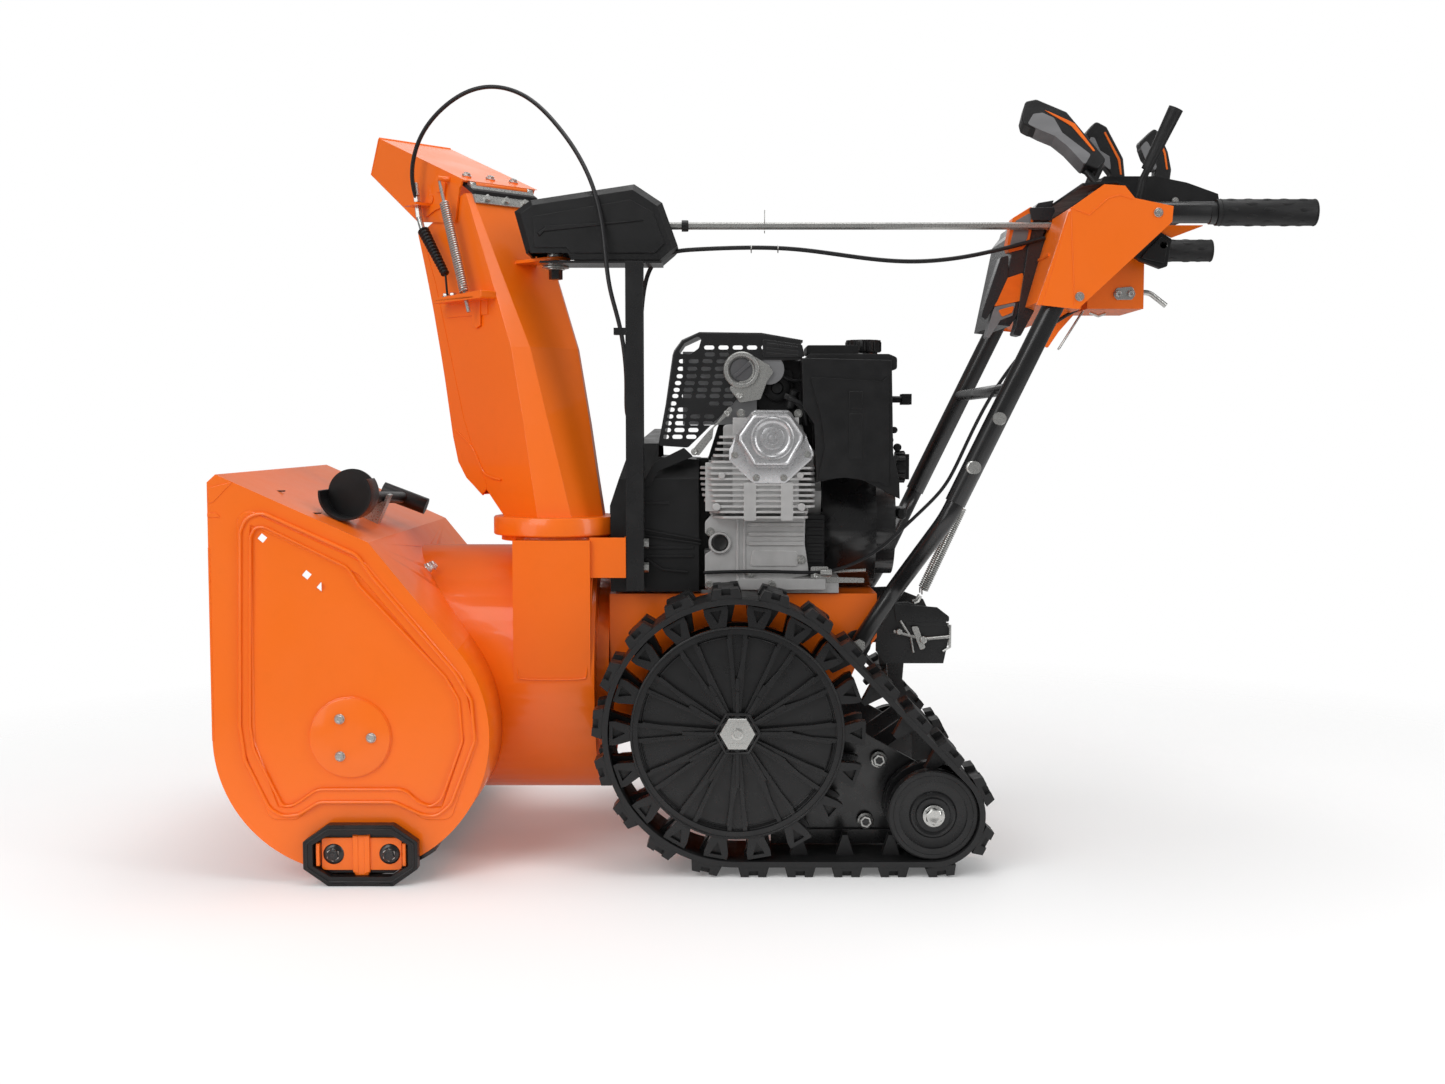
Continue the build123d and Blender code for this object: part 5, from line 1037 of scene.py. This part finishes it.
def cylinder_details():
    """Cooling fins, cylinder, crankcase with its bolts, and dark parts behind and beside them; some are black
    blocks of painted shade in the gaps round the cylinder.
    """
    fins = Kit()
    for k, z in enumerate((503, 511, 519, 527, 535, 543, 551, 559, 567, 575)):
        left = (-76, -80, -84, -88, -91, -92, -93, -94, -94, -94)[k]
        right = 64 if k < 2 else 74
        shape = [(left, -166), (left + 16, -188), (right - 8, -188), (right, -180), (right, -112),
                 (left, -112)]
        fins.prism(rounded(shape, 4, 2), z, z + 3.6, plan)
    for k, z in enumerate((584, 593, 602, 611, 620)):
        shape = [(-78 + 3 * k, -186), (-78 + 3 * k, -120), (66 - 2 * k, -120), (66 - 2 * k, -186)]
        fins.prism(rounded(shape, 6, 3), z, z + 3.6, plan)
    for x in (-30, 24):
        fins.prism(rounded(rect(x, x + 18, 500, 556), 3), -180, -188.8)
    fins.finish("cooling_fins", "cast_alloy", bevel=0.7)
    core = Kit()
    core.prism(rounded([(-80, 506), (-84, 575), (-60, 584), (-60, 640), (58, 640), (64, 575), (66, 506)], 6),
               -112, -148)
    core.prism(rounded([(-60, 578), (-60, 640), (56, 640), (60, 578)], 8), -146, -166)
    for x, z, r in ((-70, 520, 6), (-62, 566, 5), (54, 520, 6), (52, 566, 5)):
        core.lathe([(r, 0), (r, 9), (r - 1, 10)], (x, -181, z), LEFT, 20)
    core.finish("cylinder_core", "cast_alloy", bevel=1.6)
    case = Kit()
    case.prism(rounded([(-77, 532), (-76, 508), (-87, 496), (-87, 478), (-78, 476), (-78, 453), (-87, 448),
                        (-87, 396), (-43, 394), (68, 417), (61, 464), (62, 509), (66, 530)], 4), -118, -146)
    for x0, x1, z in ((-23, 61, 492), (-23, 61, 478), (-23, 61, 464)):
        case.prism(rounded(rect(x0, x1, z - 3, z + 3), 2.5), -146, -149.5)
    case.prism(rounded([(-40, 412), (92, 412), (92, 395), (-44, 395)], 3), -120, -152)
    case.prism(rounded([(-20, 430), (52, 430), (50, 452), (-16, 454)], 5), -144, -148)
    case.lathe([(17, 0), (17, 5), (15.5, 6.5), (13, 6.5), (12.4, 3)], (-65, -145, 465), LEFT, 36)
    case.lathe([(12, 0), (12, 5), (10, 7), (5, 7)], (-62, -145, 515), LEFT, 30)
    for x in (-40, -30):
        case.prism(rect(x, x + 3, 398, 520), -145, -148.6)
    case.finish("crankcase", "cast_alloy", bevel=1.4)
    bolts = Kit()
    for x, z, y in ((12, 403, -152), (-19, 420, -149), (-79, 527, -146), (-79, 481, -146), (60, 520, -149),
                    (-34, 656, -166), (50, 656, -166), (-80, 402, -146), (56, 440, -147)):
        bolts.bolt((x, y, z), LEFT, 9, 5, 6.5)
    bolts.finish("engine_bolts", "zinc_steel")
    dark_parts_and_shade_blocks = Kit()
    dark_parts_and_shade_blocks.lathe([(12, 0), (12, 5), (10.5, 6), (9, 5), (0, 5)], (-65, -145, 465), LEFT, 30)
    # painted shade: black block filling the shaded gap behind the cylinder and valve cover
    dark_parts_and_shade_blocks.prism(rounded(rect(-22, 60, 640, 735), 6), -60, -116)
    dark_parts_and_shade_blocks.prism(rounded(rect(-10, 44, 662, 722), 10), -112, -124)
    dark_parts_and_shade_blocks.prism(rounded(rect(-101, -82, 396, 590), 3), -60, -112)
    dark_parts_and_shade_blocks.lathe([(20, 0), (20, 10), (17, 12), (9, 12), (8, 16), (0, 16)], (20, -122, 694), LEFT, 36)
    dark_parts_and_shade_blocks.prism([(64, 416), (91, 416), (91, 506), (63, 506)], -96, -132)
    # painted shade: black blocks in the shaded gaps between the guard strap and the cylinder, and right of the
    # valve cover
    dark_parts_and_shade_blocks.prism(rounded([(-84, 586), (-64, 650), (-20, 668), (-20, 596)], 4), -60, -100)
    dark_parts_and_shade_blocks.prism(rounded(rect(56, 84, 600, 690), 4), -60, -100)
    for k in range(7):
        dark_parts_and_shade_blocks.prism(rect(66, 89, 422 + 12 * k, 427 + 12 * k), -132, -134.5)
    dark_parts_and_shade_blocks.finish("engine_side_and_shade_blocks", "black_plastic", bevel=1.5)


def valve_cover_details():
    """Polished six-sided valve cover with a dished middle, in place of its CAD node, and hoses."""
    foot = rounded([(-52, 604), (-20, 657), (-14, 661), (34, 661), (39, 657), (70, 604), (70, 590),
                    (34, 557), (29, 554), (-14, 554), (-20, 557), (-52, 588)], 3, 2)
    top = rounded([(-40, 625), (-19, 655), (-15, 657), (34, 657), (38, 654), (58, 625), (57, 616), (37, 581),
                   (33, 579), (-14, 579), (-18, 581), (-41, 617)], 3, 2)

    def ring(outline, y, factor=1.0, shift=(0, 0)):
        return [Vector((u + shift[0], y, v + shift[1])) for u, v in scaled(outline, factor)]

    cover = Kit()
    cover.loft([ring(foot, -166), ring(foot, -186), ring(foot, -189, 0.985), ring(foot, -190, 0.95),
                ring(top, -192, 1.04), ring(top, -206, 0.97), ring(top, -209.5, 0.93), ring(top, -210.5,
                                                                                            0.88),
                ring(top, -209.3, 0.84), ring(top, -209.0, 0.8)])
    cover.lathe([(31, -4), (31, 1.0), (29, 2.4), (26.5, 2.4), (24, 0.2), (21, -0.6), (17.5, -0.6), (16, 1.6),
                 (13.5, 2.2),
                 (9.5, 2.2), (8, 0.6), (5, 0.6), (4, 2.6), (0, 3.0)], (11, -209.4, 620), LEFT, 56)
    cover.finish("valve_cover_shell", "polished_alloy", replaces=("valve_cover",))
    screws = Kit()
    for x, z in ((-43, 596), (62, 597), (-12, 563), (28, 563), (-14, 653), (33, 653)):
        screws.bolt((x, -189, z), LEFT, 8, 4, 5.5)
    screws.finish("valve_cover_bolts", "zinc_steel")
    plug = Kit()
    plug.tube([(62, -160, 640), (58, -166, 662), (44, -168, 676), (30, -166, 682)], 4.5, 14)
    plug.tube([(74, -168, 640), (70, -170, 656), (62, -172, 664), (52, -172, 672), (36, -170, 678)], 3.4, 12)
    plug.tube([(13, -130, 736), (20, -132, 722), (33, -134, 709), (46, -132, 704), (60, -130, 706)], 3.0, 12)
    plug.lathe([(9, 0), (9, 14), (7, 18), (7, 26)], (40, -150, 666), (0.2, -0.3, 0.9), 20)
    plug.finish("engine_hoses", "black_plastic")


def cowl_details():
    """Raised panels on the engine cowl, the plate over the muffler, push buttons and the cap's grip ribs."""
    panel = Kit()
    panel.prism(rounded([(66, 709), (170, 702), (180, 712), (181, 548), (168, 556), (118, 563), (78, 560),
                         (84, 590), (88, 606), (82, 650)], 4), -188, -192.5)
    panel.prism(rounded(rect(122, 142, 662, 688), 2), -191, -193.4, edge=0.6)
    panel.prism(rounded(rect(122, 142, 590, 656), 2), -191, -193.4, edge=0.6)
    panel.prism(rounded(rect(63, 140, 744, 757), 4), -140, -60)
    panel.prism(rounded([(62, 719), (192, 719), (192, 737), (180, 742), (62, 742)], 5), -186, -60)
    panel.finish("cowl_panels", "black_plastic", bevel=1.6)
    top = Kit()
    top.prism(rounded([(-2, 765), (56, 757), (60, 739), (-2, 739)], 3), -151, -153.5)
    for k in range(3):
        top.prism(rounded([(4, 760 - 7 * k), (50, 754 - 6 * k), (50, 751 - 6 * k), (4, 757 - 7 * k)], 1),
                  -153, -154.4)
    top.finish("top_plate", "black_paint", bevel=0.8)
    knobs = Kit()
    for x, z in ((189, 617), (201, 606)):
        knobs.lathe([(6, 0), (6, 5), (5, 7), (0, 7.5)], (x, -112, z), LEFT, 20)
    knobs.lathe([(5, 0), (5, 5), (4, 6), (0, 6.5)], (196, -112, 632), LEFT, 20)
    knobs.finish("panel_buttons", "black_plastic")
    cap = Kit()
    for k in range(20):
        a = 2 * math.pi * k / 20
        x, y = 158 + 26.6 * math.cos(a), -12 + 26.6 * math.sin(a)
        cap.tube([(x, y, 754), (x, y, 768)], 1.6, 6)
    cap.finish("cap_grip", "black_plastic", "tank_cap")


def base_details():
    """The throttle cable's clamp on the engine base, belt cover ribs and the recoil rope."""
    clamp = Kit()
    clamp.prism(rounded(rect(70, 96, 412, 430), 3), -150, -152)
    clamp.prism(rounded([(94, 414), (150, 412), (150, 405), (94, 405)], 2), -140, -143)
    clamp.lathe([(6, 0), (6, 16), (4.5, 17)], (84, -154, 421), (1, 0, 0), 20)
    clamp.tube([(104, -144, 422), (152, -144, 424)], 2.6, 8)
    clamp.bolt((77, -152, 417), LEFT, 7, 3.5, 5)
    clamp.finish("cable_clamp", "zinc_steel", bevel=0.4)
    ribs = Kit()
    for a, b in (((-178, 486), (-93, 470)), ((-178, 477), (-93, 465))):
        ribs.prism([(a[0], a[1]), (b[0], b[1]), (b[0], b[1] - 2.5), (a[0], a[1] - 2.5)], -148, -151)
    ribs.prism([(-174, 443), (-150, 427), (-113, 423), (-113, 420), (-151, 424), (-175, 440)], -148, -151)
    ribs.prism(rounded([(-118, 606), (-162, 584), (-174, 562), (-180, 549), (-168, 549), (-157, 571),
                        (-104, 593)], 2), -147.5, -150.5)
    ribs.finish("belt_cover_ribs", "black_plastic", bevel=0.8)
    rope = Kit()
    rope.tube([(186 + k * 2.4, -48, 505) for k in range(9)], 1.9, 10)
    piece = rope.finish("recoil_rope", "black_plastic", None)
    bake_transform(piece)


def cable_springs():
    """Clutch wires with coil springs, in place of their CAD node, and the throttle cable."""
    springs = Kit()
    for y in (-134, -108):
        top, low = Vector((300, y, 523)), Vector((237.5, y, 387))
        springs.tube(coil(top, low, 6.4, 44, 1.25, lead=7), 1.25, 7)
        springs.tube([(430, y, 797), (300.5, y, 524)], 1.0, 8)
        springs.tube([(300.5, y, 526), (303, y, 531)], 3.2, 12)
        springs.tube([(236, y, 384), (232, y, 376), (226, y, 374)], 1.8, 8)
    springs.finish("clutch_springs", "zinc_steel", replaces=("clutch_cables",))
    cable = Kit()
    route = [(-89, -152, 421), (-20, -154, 424), (60, -154, 421), (94, -152, 421), (128, -150, 431),
             (158, -148, 446),
             (184, -146, 465), (208, -146, 488), (240, -146, 518), (269, -148, 548), (287, -150, 585),
             (306, -156, 630), (330, -164, 680), (366, -176, 736), (408, -186, 784), (452, -190, 806)]
    cable.tube(along_curve(route, order=4), 2.6, 10)
    cable.finish("throttle_cable", "cable_sheath")


def linkage_details():
    """Bright linkage rods, levers and clevis pins on the rear bracket."""
    rods = Kit()
    for y in (-126, -100):
        rods.tube([(196, y, 330), (240, y, 318), (281, y, 322)], 2.6, 10)
        rods.tube([(206, y, 346), (222, y, 322), (226, y, 298)], 2.0, 10)
        rods.prism(rounded([(222, 338), (232, 338), (244, 306), (236, 302)], 3), y - 3, y - 5)
        rods.lathe([(5.5, 0), (5.5, 6), (4.5, 7)], (240, y - 4, 318), LEFT, 18)
        rods.lathe([(4.5, 0), (4.5, 6), (3.8, 7)], (204, y - 2, 330), LEFT, 18)
        rods.tube([(270, y, 300), (281, y, 306), (281, y, 340)], 2.0, 8)
    rods.finish("linkage_rods", "zinc_steel", bevel=0.4)
    box = Kit()
    box.prism(rounded([(196, 372), (262, 366), (280, 352), (280, 344), (200, 344)], 3), -123.5, -120)
    box.prism(rounded(rect(214, 276, 344, 338), 1.5), -123.5, -90)
    box.finish("linkage_cover", "black_paint", bevel=0.8)


for build in (housing_details, top_plate_details, skid_details, wheel_details, chute_details,
              deflector_details,
              deflector_spring, cable_details, crank_details, lever_details, shroud_details, console_details,
              grip_details, tube_details, guard_details, cylinder_details, valve_cover_details, cowl_details,
              base_details, cable_springs, linkage_details):
    build()


# ---------------------------------------------------------------- floor, light, camera
FLOOR_TOP = -0.0005


def make_floor():
    """White ground that fades out round the machine, so no horizon shows."""
    mesh = bpy.data.meshes.new("floor")
    bm = bmesh.new()
    bmesh.ops.create_circle(bm, cap_ends=True, radius=3.4, segments=96)
    bm.to_mesh(mesh)
    bm.free()
    floor = bpy.data.objects.new("floor", mesh)
    floor.location.z = FLOOR_TOP
    bpy.context.collection.objects.link(floor)
    mat, tree, shader, at = new_material("floor", (0.86, 0.86, 0.86), 0.7, specular=0.1)
    tone = mix_colours(tree, noise(tree, at, 2.0, 2.0), (0.85, 0.85, 0.85), (0.87, 0.87, 0.87))
    tree.links.new(tone, shader.inputs["Base Color"])
    shader.inputs["Emission Color"].default_value = (1, 1, 1, 1)
    shader.inputs["Emission Strength"].default_value = 0.12
    reach = tree.nodes.new("ShaderNodeVectorMath")
    reach.operation = "LENGTH"
    tree.links.new(at, reach.inputs[0])
    clear = tree.nodes.new("ShaderNodeBsdfTransparent")
    fade = tree.nodes.new("ShaderNodeMixShader")
    tree.links.new(remap(tree, reach.outputs["Value"], 0.95, 2.0, 0.0, 1.0), fade.inputs[0])
    tree.links.new(shader.outputs[0], fade.inputs[1])
    tree.links.new(clear.outputs[0], fade.inputs[2])
    tree.links.new(fade.outputs[0], tree.nodes["Material Output"].inputs["Surface"])
    mesh.materials.append(mat)


def area_light(name, place, target, size, power):
    data = bpy.data.lights.new(name, "AREA")
    data.shape = "RECTANGLE"
    data.size, data.size_y = size
    data.energy = power
    light = bpy.data.objects.new(name, data)
    light.location = place
    light.rotation_euler = (Vector(target) - Vector(place)).to_track_quat("-Z", "Y").to_euler()
    bpy.context.collection.objects.link(light)


def make_world():
    """White to the camera, dimmer to the surfaces it lights and dimmer still in reflections."""
    world = bpy.data.worlds.new("studio")
    bpy.context.scene.world = world
    world.use_nodes = True
    tree = world.node_tree
    tree.nodes.clear()
    out = tree.nodes.new("ShaderNodeOutputWorld")
    path = tree.nodes.new("ShaderNodeLightPath")

    def level(strength):
        back = tree.nodes.new("ShaderNodeBackground")
        back.inputs["Color"].default_value = (1, 1, 1, 1)
        back.inputs["Strength"].default_value = strength
        return back.outputs[0]

    def choose(ray, no, yes):
        mix = tree.nodes.new("ShaderNodeMixShader")
        tree.links.new(path.outputs[ray], mix.inputs[0])
        tree.links.new(no, mix.inputs[1])
        tree.links.new(yes, mix.inputs[2])
        return mix.outputs[0]

    lit = choose("Is Glossy Ray", level(0.46), level(0.22))
    tree.links.new(choose("Is Camera Ray", lit, level(1.0)), out.inputs["Surface"])


def make_camera():
    data = bpy.data.cameras.new("camera")
    data.sensor_width = 36.0
    data.lens = 39.86
    camera = bpy.data.objects.new("camera", data)
    camera.location = (-0.061, -2.516, 0.632)
    camera.rotation_euler = (math.radians(90 - 4.004), 0, 0)
    bpy.context.collection.objects.link(camera)
    bpy.context.scene.camera = camera


make_floor()
make_world()
area_light("key", (-2.2, -3.2, 3.0), (-0.1, 0, 0.5), (2.4, 2.4), 60)
area_light("top", (0.2, 0.2, 4.2), (0, 0, 0.3), (2.8, 2.8), 72)
area_light("strip", (2.6, -1.7, 1.7), (0.0, 0, 0.7), (0.8, 2.6), 24)
area_light("low", (-2.6, -2.2, 0.9), (-0.3, 0, 0.6), (1.6, 1.6), 11)
area_light("rear", (0.4, 3.6, 2.6), (0, 0, 0.5), (3.2, 2.0), 18)
make_camera()
bpy.context.scene.view_settings.view_transform = "Standard"
